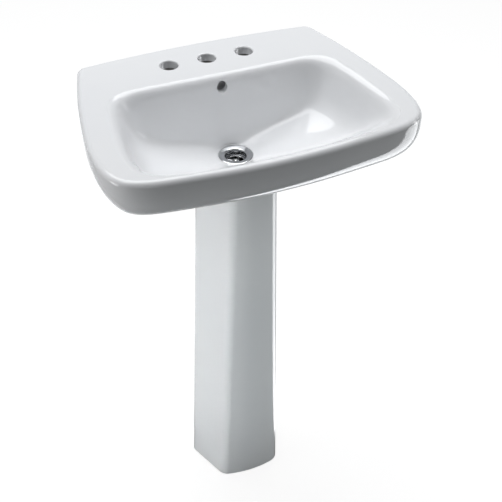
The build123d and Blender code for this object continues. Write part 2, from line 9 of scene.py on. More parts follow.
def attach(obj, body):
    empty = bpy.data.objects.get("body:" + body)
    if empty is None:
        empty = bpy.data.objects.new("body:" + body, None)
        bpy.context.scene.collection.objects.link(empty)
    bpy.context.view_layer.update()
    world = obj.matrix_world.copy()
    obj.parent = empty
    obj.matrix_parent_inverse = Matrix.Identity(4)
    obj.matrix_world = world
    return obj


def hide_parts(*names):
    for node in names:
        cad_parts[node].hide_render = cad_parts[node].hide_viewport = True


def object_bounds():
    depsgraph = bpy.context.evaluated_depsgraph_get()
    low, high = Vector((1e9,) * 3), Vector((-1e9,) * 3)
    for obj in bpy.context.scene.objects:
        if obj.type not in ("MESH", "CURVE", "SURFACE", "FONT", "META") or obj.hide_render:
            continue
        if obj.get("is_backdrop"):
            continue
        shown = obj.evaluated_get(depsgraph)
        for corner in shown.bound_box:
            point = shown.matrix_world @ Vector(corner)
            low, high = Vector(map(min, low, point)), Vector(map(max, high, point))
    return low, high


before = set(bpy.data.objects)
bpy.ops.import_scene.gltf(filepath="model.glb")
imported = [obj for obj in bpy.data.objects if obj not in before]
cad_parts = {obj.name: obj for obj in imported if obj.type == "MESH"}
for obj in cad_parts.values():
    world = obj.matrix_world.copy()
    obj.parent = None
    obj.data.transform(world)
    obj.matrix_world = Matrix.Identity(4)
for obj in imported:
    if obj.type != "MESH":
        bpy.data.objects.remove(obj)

START_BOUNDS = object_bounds()

# Shapes are worked out in millimetres with y = 0 at the wall face, and are
# moved to the row's frame (origin under the middle of the object) at the end.
HEIGHT = 860.0
DEPTH = 409.2
SHIFT = DEPTH / 2.0
BACK_HALF_W = 225.4
BACK_BOW = 12.2
SIDE_PTS = [(250.6, -101.2), (271.2, -202.4), (280.9, -292.5), (262.4, -367.3),
            (168.3, -398.0), (84.2, -406.2), (0.0, -DEPTH)]
TOP_ROUND = 10.0
BACK_ROUND = 3.0
APRON_BACK = 60.9
APRON_SLOPE = 0.051
FOOT_TOP = 838.0
FOOT_ROUND_IN = 39.5
APRON_T = 12.0
BACK_T = 16.0
DECK_T = 15.0
RIM_PTS = [(0, -117), (80, -116.5), (145, -116), (183, -121), (206, -138),
           (219, -172), (229, -222), (236.5, -280), (238, -324), (230, -355),
           (208, -373.5), (165, -387.5), (85, -395.7), (0, -398.5)]
RIM_MID, RIM_HALF_Y = -257.75, 140.75
BOWL = [(0, 238, -117, -398.5), (1.0, 234, -121, -395.5), (3.0, 230, -124.5, -392),
        (6.0, 226, -127.5, -388), (12, 221, -130.5, -380), (25, 213.5, -134.5, -362.5),
        (40, 206, -139, -343), (60, 195, -144.5, -317.5), (75, 181, -149, -298),
        (86, 163, -152.5, -282), (95, 140, -155.5, -268), (103, 113, -158.5, -255),
        (109, 86, -160.5, -245), (114, 62, -162.3, -237), (118, 46, -163.5, -232),
        (121.3, 33, -163, -228.5)]
DRAIN_Y = -195.9
SEAT_Z = 736.2
BOSS_Z = 709.0
TAP_PITCH = 71.2
TAP_Y = -59.1
TAP_R = 16.0
OVERFLOW_R = 9.5
OVERFLOW_Z = HEIGHT - 20.0
WALL_HOLE_PITCH = 280.0
WALL_HOLE_R = 7.0
WALL_HOLE_Z = 822.0
PED_H = 724.5
PED_SEAT = 726.0


# ------------------------------------------------------------------ curves
def spline(points, start=None, end=None):
    """Chord-length cubic spline as a function of a 0..1 array."""
    p = np.array(points, float)
    t = np.r_[0, np.cumsum(np.linalg.norm(np.diff(p, axis=0), axis=1))]
    return spline_t(t, p, start, end), t


def spline_t(t, p, start=None, end=None):
    k = len(p)
    h = np.diff(t)
    ms = []
    for c in range(p.shape[1]):
        y = p[:, c]
        a = np.zeros((k, k))
        r = np.zeros(k)
        for i in range(1, k - 1):
            a[i, i - 1], a[i, i], a[i, i + 1] = h[i - 1], 2 * (h[i - 1] + h[i]), h[i]
            r[i] = 6 * ((y[i + 1] - y[i]) / h[i] - (y[i] - y[i - 1]) / h[i - 1])
        if start is None:
            a[0, 0] = 1
        else:
            a[0, 0], a[0, 1] = 2 * h[0], h[0]
            r[0] = 6 * ((y[1] - y[0]) / h[0] - start[c])
        if end is None:
            a[-1, -1] = 1
        else:
            a[-1, -2], a[-1, -1] = h[-1], 2 * h[-1]
            r[-1] = 6 * (end[c] - (y[-1] - y[-2]) / h[-1])
        ms.append(np.linalg.solve(a, r))

    def f(tt):
        tt = np.asarray(tt, float)
        i = np.clip(np.searchsorted(t, tt, side="right") - 1, 0, k - 2)
        x0, x1 = tt - t[i], t[i + 1] - tt
        out = []
        for c in range(p.shape[1]):
            y, m = p[:, c], ms[c]
            out.append(m[i] * x1 ** 3 / (6 * h[i]) + m[i + 1] * x0 ** 3 / (6 * h[i])
                       + (y[i] / h[i] - m[i] * h[i] / 6) * x1
                       + (y[i + 1] / h[i] - m[i + 1] * h[i] / 6) * x0)
        return np.stack(out, -1)
    return f


def pchip(x, y, q):
    """Monotone cubic through (x, y), at q."""
    x, y = np.array(x, float), np.array(y, float)
    h = np.diff(x)
    d = np.diff(y) / h
    m = np.zeros_like(y)
    for i in range(1, len(x) - 1):
        if d[i - 1] * d[i] > 0:
            w1, w2 = 2 * h[i] + h[i - 1], h[i] + 2 * h[i - 1]
            m[i] = (w1 + w2) / (w1 / d[i - 1] + w2 / d[i])
    m[0], m[-1] = d[0], d[-1]
    q = np.asarray(q, float)
    i = np.clip(np.searchsorted(x, q, side="right") - 1, 0, len(x) - 2)
    t = (q - x[i]) / h[i]
    return ((1 + 2 * t) * (1 - t) ** 2 * y[i] + t * (1 - t) ** 2 * h[i] * m[i]
            + t * t * (3 - 2 * t) * y[i + 1] + t * t * (t - 1) * h[i] * m[i + 1])


def resample(c, q):
    s = np.r_[0, np.cumsum(np.linalg.norm(np.diff(c, axis=0), axis=1))]
    s /= s[-1]
    return np.stack([np.interp(q, s, c[:, 0]), np.interp(q, s, c[:, 1])], 1)


def back_line(x):
    return -BACK_BOW * (x / BACK_HALF_W) ** 2


_f, _t = spline([(BACK_HALF_W, -BACK_BOW)] + SIDE_PTS, end=(-1.0, 0.0))
SIDE = _f(np.linspace(0, _t[-1], 1201))
_tan = np.gradient(SIDE, axis=0)
_tan /= np.linalg.norm(_tan, axis=1)[:, None]
SIDE_N = np.stack([_tan[:, 1], -_tan[:, 0]], 1)
if SIDE_N[600] @ (np.array([0, -200.0]) - SIDE[600]) < 0:
    SIDE_N = -SIDE_N

NB, NC, NS = 34, 9, 118          # points: back edge, back corner, side and front
N_HALF = NB + NC + NS


def outer_ring(inset, back_inset, corner_r=7.0):
    """Right half of the basin outline, inset; from the back middle round to the
    front middle, with a small rounded back corner."""
    o = SIDE + SIDE_N * inset
    keep = np.nonzero(o[:, 1] < back_line(o[:, 0]) - back_inset - 0.5)[0][0]
    o = o[keep:]
    d = o[0] - o[6]
    d /= np.linalg.norm(d)
    p = o[0].copy()
    for _ in range(40):
        p = p + d * ((back_line(p[0]) - back_inset) - p[1]) / d[1]
    o = np.vstack([p, o])
    o[-1, 0] = 0.0
    s = np.r_[0, np.cumsum(np.linalg.norm(np.diff(o, axis=0), axis=1))]
    side_start = np.array([np.interp(corner_r, s, o[:, 0]), np.interp(corner_r, s, o[:, 1])])
    q = np.linspace(0, 1, NS)
    qq = corner_r + (s[-1] - corner_r) * q
    side = np.stack([np.interp(qq, s, o[:, 0]), np.interp(qq, s, o[:, 1])], 1)
    x1 = p[0] - corner_r
    xb = np.linspace(0, x1, NB + 1)[:-1]
    back = np.stack([xb, back_line(xb) - back_inset], 1)
    b0 = np.array([x1, back_line(x1) - back_inset])
    t = np.linspace(0, 1, NC + 1)[:-1][:, None]
    h0, h1 = b0 + (p - b0) * 0.56, side_start + (p - side_start) * 0.56
    arc = (1 - t) ** 3 * b0 + 3 * (1 - t) ** 2 * t * h0 + 3 * (1 - t) * t * t * h1 + t ** 3 * side_start
    return np.vstack([back, arc, side])


_f, _t = spline(RIM_PTS, start=(1.0, 0.0), end=(-1.0, 0.0))
_c = _f(np.linspace(0, _t[-1], 2001))
# spread of points round the bowl follows the outline's own spread
_o = outer_ring(TOP_ROUND, BACK_ROUND)
_s = np.r_[0, np.cumsum(np.linalg.norm(np.diff(_o, axis=0), axis=1))]
_s /= _s[-1]
Q = np.linspace(0, 1, N_HALF) * 0.55 + _s * 0.45
RIM_HALF = resample(_c, Q)
_u = RIM_HALF[:, 0] / 238.0
_v = (RIM_HALF[:, 1] - RIM_MID) / RIM_HALF_Y
ANG = np.arctan2(_u, _v)
BD, BA, BB, BF = (np.array(c, float) for c in zip(*BOWL))


def bowl_ring(depth, grow=0.0):
    a, b, f = (float(pchip(BD, c, depth)) for c in (BA, BB, BF))
    a, b, f = a + grow, b + grow, f - grow
    yc, hy = (b + f) / 2, (b - f) / 2
    w = min(1.0, max(0.0, (depth - 96.0) / 25.3))
    w = w * w * (3 - 2 * w)
    uu = _u * (1 - w) + np.sin(ANG) * w
    vv = _v * (1 - w) + np.cos(ANG) * w
    h = np.stack([a * uu, yc + hy * vv], 1)
    h[0, 0] = h[-1, 0] = 0.0
    return h


def circle_ring(r):
    return np.stack([r * np.sin(ANG), DRAIN_Y + r * np.cos(ANG)], 1)


def with_z(ring, z):
    z = np.full(len(ring), z, float) if np.isscalar(z) else z
    return np.column_stack([ring, z])


def sloped(ring, up):
    return with_z(ring, HEIGHT - APRON_BACK + APRON_SLOPE * ring[:, 1] + up)


def foot(ring, t, up=0.0):
    """Rounded lower edge of the apron: t = 0 at its bottom, 90 degrees at its top."""
    low = HEIGHT - APRON_BACK + APRON_SLOPE * ring[:, 1]
    return with_z(ring, low + (FOOT_TOP - low) * (1 - math.cos(t)) + up)


def mix(a, b, t):
    return a * (1 - t) + b * t


def full(half):
    left = half[-2:0:-1].copy()
    left[:, 0] *= -1
    return np.vstack([half, left])


# ------------------------------------------------------------------ mesh tools
def to_object(name, verts, faces, smooth=True, sharp=None):
    v = np.array(verts, float)
    v[:, 1] += SHIFT
    v *= 0.001
    me = bpy.data.meshes.new(name)
    me.from_pydata([tuple(p) for p in v], [], faces)
    me.validate()
    ob = bpy.data.objects.new(name, me)
    bpy.context.scene.collection.objects.link(ob)
    bm = bmesh.new()
    bm.from_mesh(me)
    bmesh.ops.recalc_face_normals(bm, faces=bm.faces)
    bm.to_mesh(me)
    bm.free()
    if smooth:
        me.polygons.foreach_set("use_smooth", [True] * len(me.polygons))
        if sharp:
            me.set_sharp_from_angle(angle=math.radians(sharp))
    return ob


def grid(rings, close_rings=True):
    """Closed grid of rings; the last ring joins the first if close_rings."""
    n = len(rings[0])
    verts = np.vstack(rings)
    faces = []
    m = len(rings)
    for i in range(m if close_rings else m - 1):
        a, b = i * n, ((i + 1) % m) * n
        for j in range(n):
            k = (j + 1) % n
            faces.append((a + j, a + k, b + k, b + j))
    return verts, faces


def apply_all(ob):
    bpy.context.view_layer.update()
    dg = bpy.context.evaluated_depsgraph_get()
    me = bpy.data.meshes.new_from_object(ob.evaluated_get(dg))
    old = ob.data
    ob.modifiers.clear()
    ob.data = me
    bpy.data.meshes.remove(old)


def boolean(ob, other, op):
    m = ob.modifiers.new("b", "BOOLEAN")
    m.operation = op
    m.solver = "EXACT"
    m.object = other
    apply_all(ob)
    me = other.data
    bpy.data.objects.remove(other)
    bpy.data.meshes.remove(me)


def weld(ob, dist=1e-5):
    bm = bmesh.new()
    bm.from_mesh(ob.data)
    bmesh.ops.remove_doubles(bm, verts=bm.verts, dist=dist)
    bmesh.ops.dissolve_degenerate(bm, dist=dist, edges=bm.edges)
    bmesh.ops.recalc_face_normals(bm, faces=bm.faces)
    bm.to_mesh(ob.data)
    bm.free()


def finish_shading(ob, angle=35.0, weighted=True):
    me = ob.data
    me.polygons.foreach_set("use_smooth", [True] * len(me.polygons))
    me.set_sharp_from_angle(angle=math.radians(angle))
    if weighted:
        m = ob.modifiers.new("wn", "WEIGHTED_NORMAL")
        m.keep_sharp = True
        m.weight = 50


def turned(name, profile, y=DRAIN_Y, x=0.0, n=96, sharp=40.0):
    """Solid of revolution about a vertical axis, closed profile of (r, z)."""
    rings, poles = [], {}
    verts, faces = [], []
    idx = []
    for r, z in profile:
        if r < 1e-6:
            verts.append((x, y, z))
            idx.append([len(verts) - 1] * n)
        else:
            s = len(verts)
            for j in range(n):
                a = 2 * math.pi * j / n
                verts.append((x + r * math.sin(a), y + r * math.cos(a), z))
            idx.append(list(range(s, s + n)))
    m = len(profile)
    for i in range(m):
        a, b = idx[i], idx[(i + 1) % m]
        if a[0] == a[1] and b[0] == b[1]:
            continue
        for j in range(n):
            k = (j + 1) % n
            f = [a[j], a[k], b[k], b[j]]
            g = []
            for v in f:
                if v not in g:
                    g.append(v)
            if len(g) > 2:
                faces.append(g)
    return to_object(name, verts, faces, sharp=sharp)


def round_profile(pts, radii, steps=5):
    """Closed profile with each corner rounded by its radius."""
    out = []
    m = len(pts)
    for i in range(m):
        p0, p1, p2 = (np.array(pts[(i + k) % m], float) for k in (-1, 0, 1))
        r = radii[i]
        if r <= 0:
            out.append(tuple(p1))
            continue
        a, b = p0 - p1, p2 - p1
        la, lb = np.linalg.norm(a), np.linalg.norm(b)
        a, b = a / la, b / lb
        ang = math.acos(max(-1, min(1, float(a @ b))))
        cut = min(r / math.tan(ang / 2), la * 0.49, lb * 0.49)
        rr = cut * math.tan(ang / 2)
        c = p1 + (a + b) / np.linalg.norm(a + b) * (rr / math.sin(ang / 2))
        v0, v1 = p1 + a * cut - c, p1 + b * cut - c
        tot = math.acos(max(-1, min(1, float(v0 @ v1) / (rr * rr))))
        for k in range(steps + 1):
            t = k / steps
            if tot < 1e-4:
                out.append(tuple(p1))
                break
            w0, w1 = math.sin((1 - t) * tot) / math.sin(tot), math.sin(t * tot) / math.sin(tot)
            out.append(tuple(c + v0 * w0 + v1 * w1))
    return out


def prism(name, quads):
    """Closed solid through horizontal quads of (half width, back y, front y, z)."""
    rings = []
    for hw, y0, y1, z in quads:
        rings.append(np.array([(-hw, y0, z), (hw, y0, z), (hw, y1, z), (-hw, y1, z)], float))
    v, f = grid(rings, close_rings=False)
    n = len(rings)
    f.append((0, 1, 2, 3))
    f.append(tuple((n - 1) * 4 + k for k in (0, 1, 2, 3)))
    return to_object(name, v, f, smooth=False)


def rod_y(name, r, x, y0, y1, z, n=48, tilt=0.0):
    a = [2 * math.pi * j / n for j in range(n)]
    r0 = [(x + r * math.cos(t), y0 + r * math.sin(t) * -tilt, z + r * math.sin(t)) for t in a]
    dz = (y1 - y0) * tilt
    r1 = [(px, py + (y1 - y0), pz + dz) for px, py, pz in r0]
    v = np.array(r0 + r1)
    f = [(j, (j + 1) % n, n + (j + 1) % n, n + j) for j in range(n)]
    f.append(tuple(range(n)))
    f.append(tuple(range(n, 2 * n)))
    return to_object(name, v, f, smooth=False)


# ------------------------------------------------------------------ basin
def make_basin():
    R = []
    # waste hole, seat recess and its softened edge
    R.append(with_z(circle_ring(22.5), SEAT_Z))
    R.append(with_z(circle_ring(30.9), SEAT_Z))
    R.append(with_z(circle_ring(31.2), SEAT_Z + 0.3))
    R.append(with_z(circle_ring(31.2), 738.0))
    R.append(with_z(mix(circle_ring(31.6), bowl_ring(121.3), 0.15), 738.6))
    # bowl, from the waste up to the rim
    depths = [121.3, 120.6, 119.6, 118.2, 116.5, 114.5, 112, 109.5, 106.5, 103, 99, 95, 90.5, 86, 81,
              76, 71, 66, 61, 56, 51, 46, 41, 36, 31.5, 27.5, 24, 21, 18, 15.5, 13, 11, 9.2, 7.6,
              6.2, 5.0, 4.0, 3.1, 2.3, 1.6, 1.0, 0.55, 0.25, 0.08, 0.0]
    for d in depths:
        R.append(with_z(bowl_ring(d), HEIGHT - d))
    # deck
    top_in = outer_ring(TOP_ROUND, BACK_ROUND)
    for t in (0.2, 0.4, 0.6, 0.8, 0.93):
        R.append(with_z(mix(bowl_ring(0.0), top_in, t), HEIGHT))
    # rounded top edge
    for deg in (0, 7, 15, 24, 33, 43, 53, 64, 76, 90):
        t = math.radians(deg)
        R.append(with_z(outer_ring(TOP_ROUND * (1 - math.sin(t)), BACK_ROUND * (1 - math.sin(t))),
                        HEIGHT - TOP_ROUND * (1 - math.cos(t))))
    # apron
    o = outer_ring(0, 0)
    top, low = with_z(o, HEIGHT - TOP_ROUND), with_z(o, FOOT_TOP)
    for t in (0.33, 0.67):
        R.append(mix(top, low, t))
    for deg in (90, 82, 74, 66, 58, 50, 42, 34, 26, 18, 12, 6, 0):
        t = math.radians(deg)
        R.append(foot(outer_ring(FOOT_ROUND_IN * (1 - math.sin(t)), 0), t))
    # foot edge, inner apron wall, deck underside
    R.append(sloped(outer_ring(FOOT_ROUND_IN + 2.5, 4), -0.5))
    R.append(sloped(outer_ring(FOOT_ROUND_IN + 6.0, 10), 0.3))
    R.append(sloped(outer_ring(FOOT_ROUND_IN + 7.5, BACK_T), 3.5))
    for deg, up in ((25, 4.0), (40, 2.0), (60, 0.0)):
        t = math.radians(deg)
        R.append(foot(outer_ring(FOOT_ROUND_IN * (1 - math.sin(t)) + APRON_T, BACK_T), t, up))
    R.append(with_z(outer_ring(APRON_T, BACK_T), HEIGHT - DECK_T - 9))
    R.append(with_z(outer_ring(APRON_T + 3.5, BACK_T + 2), HEIGHT - DECK_T - 3.5))
    R.append(with_z(outer_ring(APRON_T + 8, BACK_T + 6), HEIGHT - DECK_T))
    inner_top = bowl_ring(15.5, 10)
    a = outer_ring(APRON_T + 8, BACK_T + 6)
    for t in (0.35, 0.7):
        R.append(with_z(mix(a, inner_top, t), HEIGHT - DECK_T))
    R.append(with_z(bowl_ring(16.2, 9.9), HEIGHT - DECK_T - 0.8))
    for d, drop in ((17, 0.8), (22, 1.0), (30, 1.6), (40, 2.5), (50, 3.2), (60, 4.0), (70, 5.0), (80, 6.0),
                    (88, 6.8), (95, 7.5), (101, 8.0), (106, 8.5), (111, 9.0), (115, 9.5), (118.5, 10.6)):
        R.append(with_z(bowl_ring(d, 10 - drop * 0.25), HEIGHT - d - drop))
    R.append(with_z(circle_ring(35.5), 727.2))
    R.append(with_z(circle_ring(33.2), 724.5))
    R.append(with_z(circle_ring(33.0), BOSS_Z + 1.5))
    R.append(with_z(circle_ring(31.8), BOSS_Z))
    R.append(with_z(circle_ring(22.9), BOSS_Z))
    R.append(with_z(circle_ring(22.5), BOSS_Z + 0.4))
    verts, faces = grid([full(r) for r in R])
    ob = to_object("basin_china", verts, faces)

    # overflow channel on the back of the bowl, wall pads, seat for the column
    boolean(ob, prism("duct", [(21, -103, -135, 847), (21, -111, -143, 800), (21, -121, -157, 745),
                               (21, -135, -171, BOSS_Z)]), "UNION")
    for s in (-1, 1):
        pad = prism("pad", [(PAD / 2, 0, -14, WALL_HOLE_Z - 18), (PAD / 2, 0, -14, WALL_HOLE_Z + 18)])
        pad.data.transform(Matrix.Translation((s * WALL_HOLE_PITCH / 2000, 0, 0)))
        boolean(ob, pad, "UNION")
    boolean(ob, column_shell("seat", PED_SEAT, PED_SEAT + 38, fixed=PED_H), "UNION")
    # the seat must not stand in the bowl: cut the bowl's own space clear
    cut = [with_z(bowl_ring(d, -0.02), HEIGHT - d) for d in depths if 3 < d < 121]
    v, f = grid([full(r) for r in cut], close_rings=False)
    n = len(full(cut[0]))
    f.append(tuple(range(n)))
    f.append(tuple(range((len(cut) - 1) * n, len(cut) * n)))
    boolean(ob, to_object("cut", v, f, smooth=False), "DIFFERENCE")
    boolean(ob, prism("duct_in", [(14, -110, -124, 844), (14, -118, -130, 800), (14, -128, -142, 745),
                                  (14, -142, -157, 722)]), "DIFFERENCE")
    boolean(ob, prism("duct_foot", [(14, -142, -179, 714.5), (14, -142, -179, 722.5)]), "DIFFERENCE")
    boolean(ob, rod_y("ov", OVERFLOW_R, 0, -141.5, -116, OVERFLOW_Z - 1.9, n=64, tilt=0.22), "DIFFERENCE")
    for s in (-1, 1):
        boolean(ob, rod_y("wb", WALL_HOLE_R, s * WALL_HOLE_PITCH / 2, -32, 8, WALL_HOLE_Z), "DIFFERENCE")
    flare = [(0, HEIGHT + 4), (0, HEIGHT - 26), (TAP_R, HEIGHT - 26)]
    for k in range(9):
        t = math.radians(90 * k / 8)
        flare.append((TAP_R + 3.2 * (1 - math.cos(t)), HEIGHT - 3.2 * (1 - math.sin(t))))
    flare[-1] = (TAP_R + 3.2, HEIGHT + 0.01)
    flare.append((TAP_R + 3.2, HEIGHT + 4))
    for i in (-1, 0, 1):
        boolean(ob, turned("tap", flare, TAP_Y, i * TAP_PITCH, n=72), "DIFFERENCE")
    weld(ob, 2e-6)
    finish_shading(ob, 38)
    return ob


PAD = 60.0

# ------------------------------------------------------------------ column
PED_W_BACK = (92.5, 74.8)
PED_W_FRONT = (60.5, 42.9)
PED_W_REAR = (60.0, 43.2)
PED_Y_WIDE = -191.65
PED_Y_CORNER = -281.65
PED_Y_FRONT = -291.15
PED_Y_REAR = -128.65
PED_R_WIDE = 16.0
PED_CORNER = 24.0
PED_T = 12.0


def unit(v):
    return v / np.linalg.norm(v)


def column_half(z, off):
    """Right half of the column's plan, from the rear end to the front middle."""
    k = z / PED_H
    wb, wf, wr = (a + (b - a) * k for a, b in (PED_W_BACK, PED_W_FRONT, PED_W_REAR))
    e, v, c = np.array([wr, PED_Y_REAR]), np.array([wb, PED_Y_WIDE]), np.array([wf, PED_Y_CORNER])
    d1, d2 = unit(v - e), unit(c - v)
    n1, n2 = np.array([-d1[1], d1[0]]), np.array([-d2[1], d2[0]])
    n1 = n1 if n1[0] < 0 else -n1
    n2 = n2 if n2[0] < 0 else -n2
    bow = PED_Y_CORNER - PED_Y_FRONT
    big = (wf * wf + bow * bow) / (2 * bow)
    fc = np.array([0.0, PED_Y_FRONT + big])
    m = np.linalg.solve(np.array([d1, -d2]).T, (v + n2 * PED_R_WIDE) - (v + n1 * PED_R_WIDE))
    wide = v + n1 * PED_R_WIDE + d1 * m[0]
    p = v + n2 * PED_CORNER - fc
    bb, cc = float(p @ d2), float(p @ p) - (big - PED_CORNER) ** 2
    roots = [-bb - math.sqrt(bb * bb - cc), -bb + math.sqrt(bb * bb - cc)]
    corner = min((fc + p + d2 * q for q in roots), key=lambda q: q[1])
    rw, rc = PED_R_WIDE - off, PED_CORNER - off
    s0 = e + n1 * off
    s0 = s0 + d1 * ((PED_Y_REAR - s0[1]) / d1[1])
    w0, w1 = wide - n1 * rw, wide - n2 * rw
    f = unit(corner - fc)
    c0, c1 = corner - n2 * rc, corner + f * rc

    def arc(cen, a, b, n):
        a, b = a - cen, b - cen
        tot = math.acos(max(-1, min(1, float(unit(a) @ unit(b)))))
        return [cen + (a * math.sin((1 - t) * tot) + b * math.sin(t * tot)) / math.sin(tot)
                for t in np.linspace(0, 1, n)]
    out = [s0 + (w0 - s0) * t for t in np.linspace(0, 1, 7)[:-1]]
    out += arc(wide, w0, w1, 13)[:-1]
    out += [w1 + (c0 - w1) * t for t in np.linspace(0, 1, 11)[:-1]]
    out += arc(corner, c0, c1, 19)[:-1]
    r = big - off
    a0 = math.atan2(c1[0], -(c1[1] - fc[1]))
    for t in np.linspace(1, 0, 15):
        out.append(np.array([r * math.sin(a0 * t), fc[1] - r * math.cos(a0 * t)]))
    out[-1][0] = 0.0
    return np.array(out)


def column_loop(z, off, t=PED_T, at=None):
    """Closed U loop: outer line round to the left rear end, back along the inner line."""
    def line(o):
        h = column_half(z if at is None else at, o)
        left = h[-2::-1].copy()
        left[:, 0] *= -1
        return np.vstack([h, left])
    po, pi = line(off), line(off + t)
    return with_z(np.vstack([po, pi[::-1]]), z)


def column_shell(name, z0, z1, fixed=None):
    levels = [z0, z1]
    rings = [column_loop(z, 0.0, at=fixed) for z in levels]
    return shell_from(name, rings)


def shell_from(name, rings):
    n = len(rings[0])
    v, f = grid(rings, close_rings=False)
    for base in (0, (len(rings) - 1) * n):
        for j in range(n // 2 - 1):
            f.append((base + j, base + j + 1, base + n - 2 - j, base + n - 1 - j))
    return to_object(name, v, f, smooth=False)


def make_column():
    rings = []
    # foot edge and top edge are rounded, and the wall thins towards them
    for h, o in ((0.0, 1.6), (0.25, 0.85), (0.8, 0.3), (1.6, 0.05), (2.6, 0.0)):
        rings.append(column_loop(h, o, PED_T - 2 * o))
    for z in np.linspace(2.6, PED_H - 2.6, 32)[1:-1]:
        rings.append(column_loop(z, 0.0))
    for h, o in ((2.6, 0.0), (1.6, 0.05), (0.8, 0.3), (0.25, 0.85), (0.0, 1.6)):
        rings.append(column_loop(PED_H - h, o, PED_T - 2 * o))
    ob = shell_from("column_china", rings)
    # round the rear ends of the wall
    m = ob.modifiers.new("bev", "BEVEL")
    m.width = 0.0022
    m.segments = 3
    m.limit_method = "ANGLE"
    m.angle_limit = math.radians(55)
    apply_all(ob)
    # foot lugs drilled for the floor screws
    half = column_half(14.0, 2.0)
    for s in (-1, 1):
        x0, x1 = 27.0, 87.0
        ym0, ym1 = -174.65, PED_Y_REAR - 3.0
        pts = clip_lug(half, x0, ym0, ym1)
        v = [(s * x, y, z) for z in (0.5, 13.0) for x, y in pts] + [(s * (x + (0.6 if x < 28 else 0)), y, 14.0) for x, y in pts]
        n = len(pts)
        f = [tuple(range(n)), tuple(range(2 * n, 3 * n))]
        for lv in (0, 1):
            for j in range(n):
                k = (j + 1) % n
                f.append((lv * n + j, lv * n + k, (lv + 1) * n + k, (lv + 1) * n + j))
        boolean(ob, to_object("lug", v, f, smooth=False), "UNION")
        boolean(ob, turned("lh", [(0, -3), (4.5, -3), (4.5, 20), (0, 20)], -154.65, s * 42.0, n=40), "DIFFERENCE")
    weld(ob, 2e-6)
    finish_shading(ob, 40)
    return ob


def clip_lug(half, x0, y0, y1):
    """Lug plan between x0 and the column's outer line, y0..y1."""
    rear = half[:7]
    d = half[6] - half[0]
    xs = lambda y: half[0][0] + d[0] * (y - half[0][1]) / d[1]
    return [(x0, y0), (xs(y0), y0), (xs(y1), y1), (x0, y1)]


# ------------------------------------------------------------------ waste
def make_waste():
    top = 738.9
    pts = [(18.7, top - 3.4), (19.4, top - 2.3), (21.0, top - 1.45), (23.5, top - 0.85), (26.2, top - 0.35),
           (28.2, top - 0.05), (29.6, top - 0.15), (30.35, top - 0.65), (30.5, top - 1.15), (30.3, top - 1.5),
           (29.6, top - 1.6), (20.5, top - 1.6), (20.5, 653.0), (20.2, 652.0), (17.0, 652.0), (16.4, 652.6),
           (15.95, 653.6), (15.95, 674.0), (14.7, 676.0), (14.7, 682.0), (17.7, 688.0), (17.7, 721.6),
           (18.1, 722.8), (18.7, 723.4)]
    # the long plain walls keep even quads
    prof = []
    for a, b in zip(pts, pts[1:] + pts[:1]):
        d = math.hypot(b[0] - a[0], b[1] - a[1])
        k = max(1, int(d / 6.0))
        prof += [(a[0] + (b[0] - a[0]) * i / k, a[1] + (b[1] - a[1]) * i / k) for i in range(k)]
    ob = turned("waste_body", prof, n=128, sharp=38)
    for ang in (0, 90, 180, 270):
        a = math.radians(ang)
        bm = bmesh.new()
        bmesh.ops.create_cube(bm, size=1.0)
        bmesh.ops.bevel(bm, geom=[e for e in bm.edges if abs(e.verts[0].co.y - e.verts[1].co.y) > 0.5],
                        offset=0.22, segments=4, affect="EDGES")
        me = bpy.data.meshes.new("port")
        bm.to_mesh(me)
        bm.free()
        me.transform(Matrix.Translation((0, (DRAIN_Y + SHIFT) / 1000, 0.7183)) @ Matrix.Rotation(a, 4, "Z")
                     @ Matrix.Translation((0, 0.018, 0)) @ Matrix.Diagonal((0.010, 0.012, 0.007, 1)))
        cut = bpy.data.objects.new("port", me)
        bpy.context.scene.collection.objects.link(cut)
        boolean(ob, cut, "DIFFERENCE")
    weld(ob, 1e-6)
    finish_shading(ob, 38, weighted=False)
    return ob


def make_strainer():
    """Cast cross: a rim, four arms with rounded backs and a hub, one closed mesh."""
    z0, z1 = 722.9, 725.4
    rim = turned("strainer_rim", round_profile([(15.2, z0), (18.55, z0), (18.55, z1 + 0.5), (15.2, z1)],
                                               [0.4, 0.4, 0.8, 0.9]), n=128, sharp=45)
    hub = turned("hub", round_profile([(0.0, z0), (6.3, z0), (6.3, z1 + 0.5), (0.0, z1 + 0.5)],
                                      [0, 0.4, 0.9, 0]), n=64)
    boolean(rim, hub, "UNION")
    prof = round_profile([(-2.15, z0), (2.15, z0), (2.15, z1), (-2.15, z1)], [0.3, 0.3, 1.3, 1.3], steps=5)
    for ang in (45, 135, 225, 315):
        a = math.radians(ang)
        c, s = math.cos(a), math.sin(a)
        verts, faces = [], []
        stations = (4.6, 9.0, 13.0, 16.6)
        for r in stations:
            for u, z in prof:
                verts.append((r * c - u * s, DRAIN_Y + r * s + u * c, z))
        n = len(prof)
        for i in range(len(stations) - 1):
            for j in range(n):
                k = (j + 1) % n
                faces.append((i * n + j, i * n + k, (i + 1) * n + k, (i + 1) * n + j))
        faces.append(tuple(range(n)))
        faces.append(tuple((len(stations) - 1) * n + j for j in range(n)))
        boolean(rim, to_object("arm", verts, faces, smooth=False), "UNION")
    weld(rim, 1e-6)
    finish_shading(rim, 45, weighted=False)
    return rim


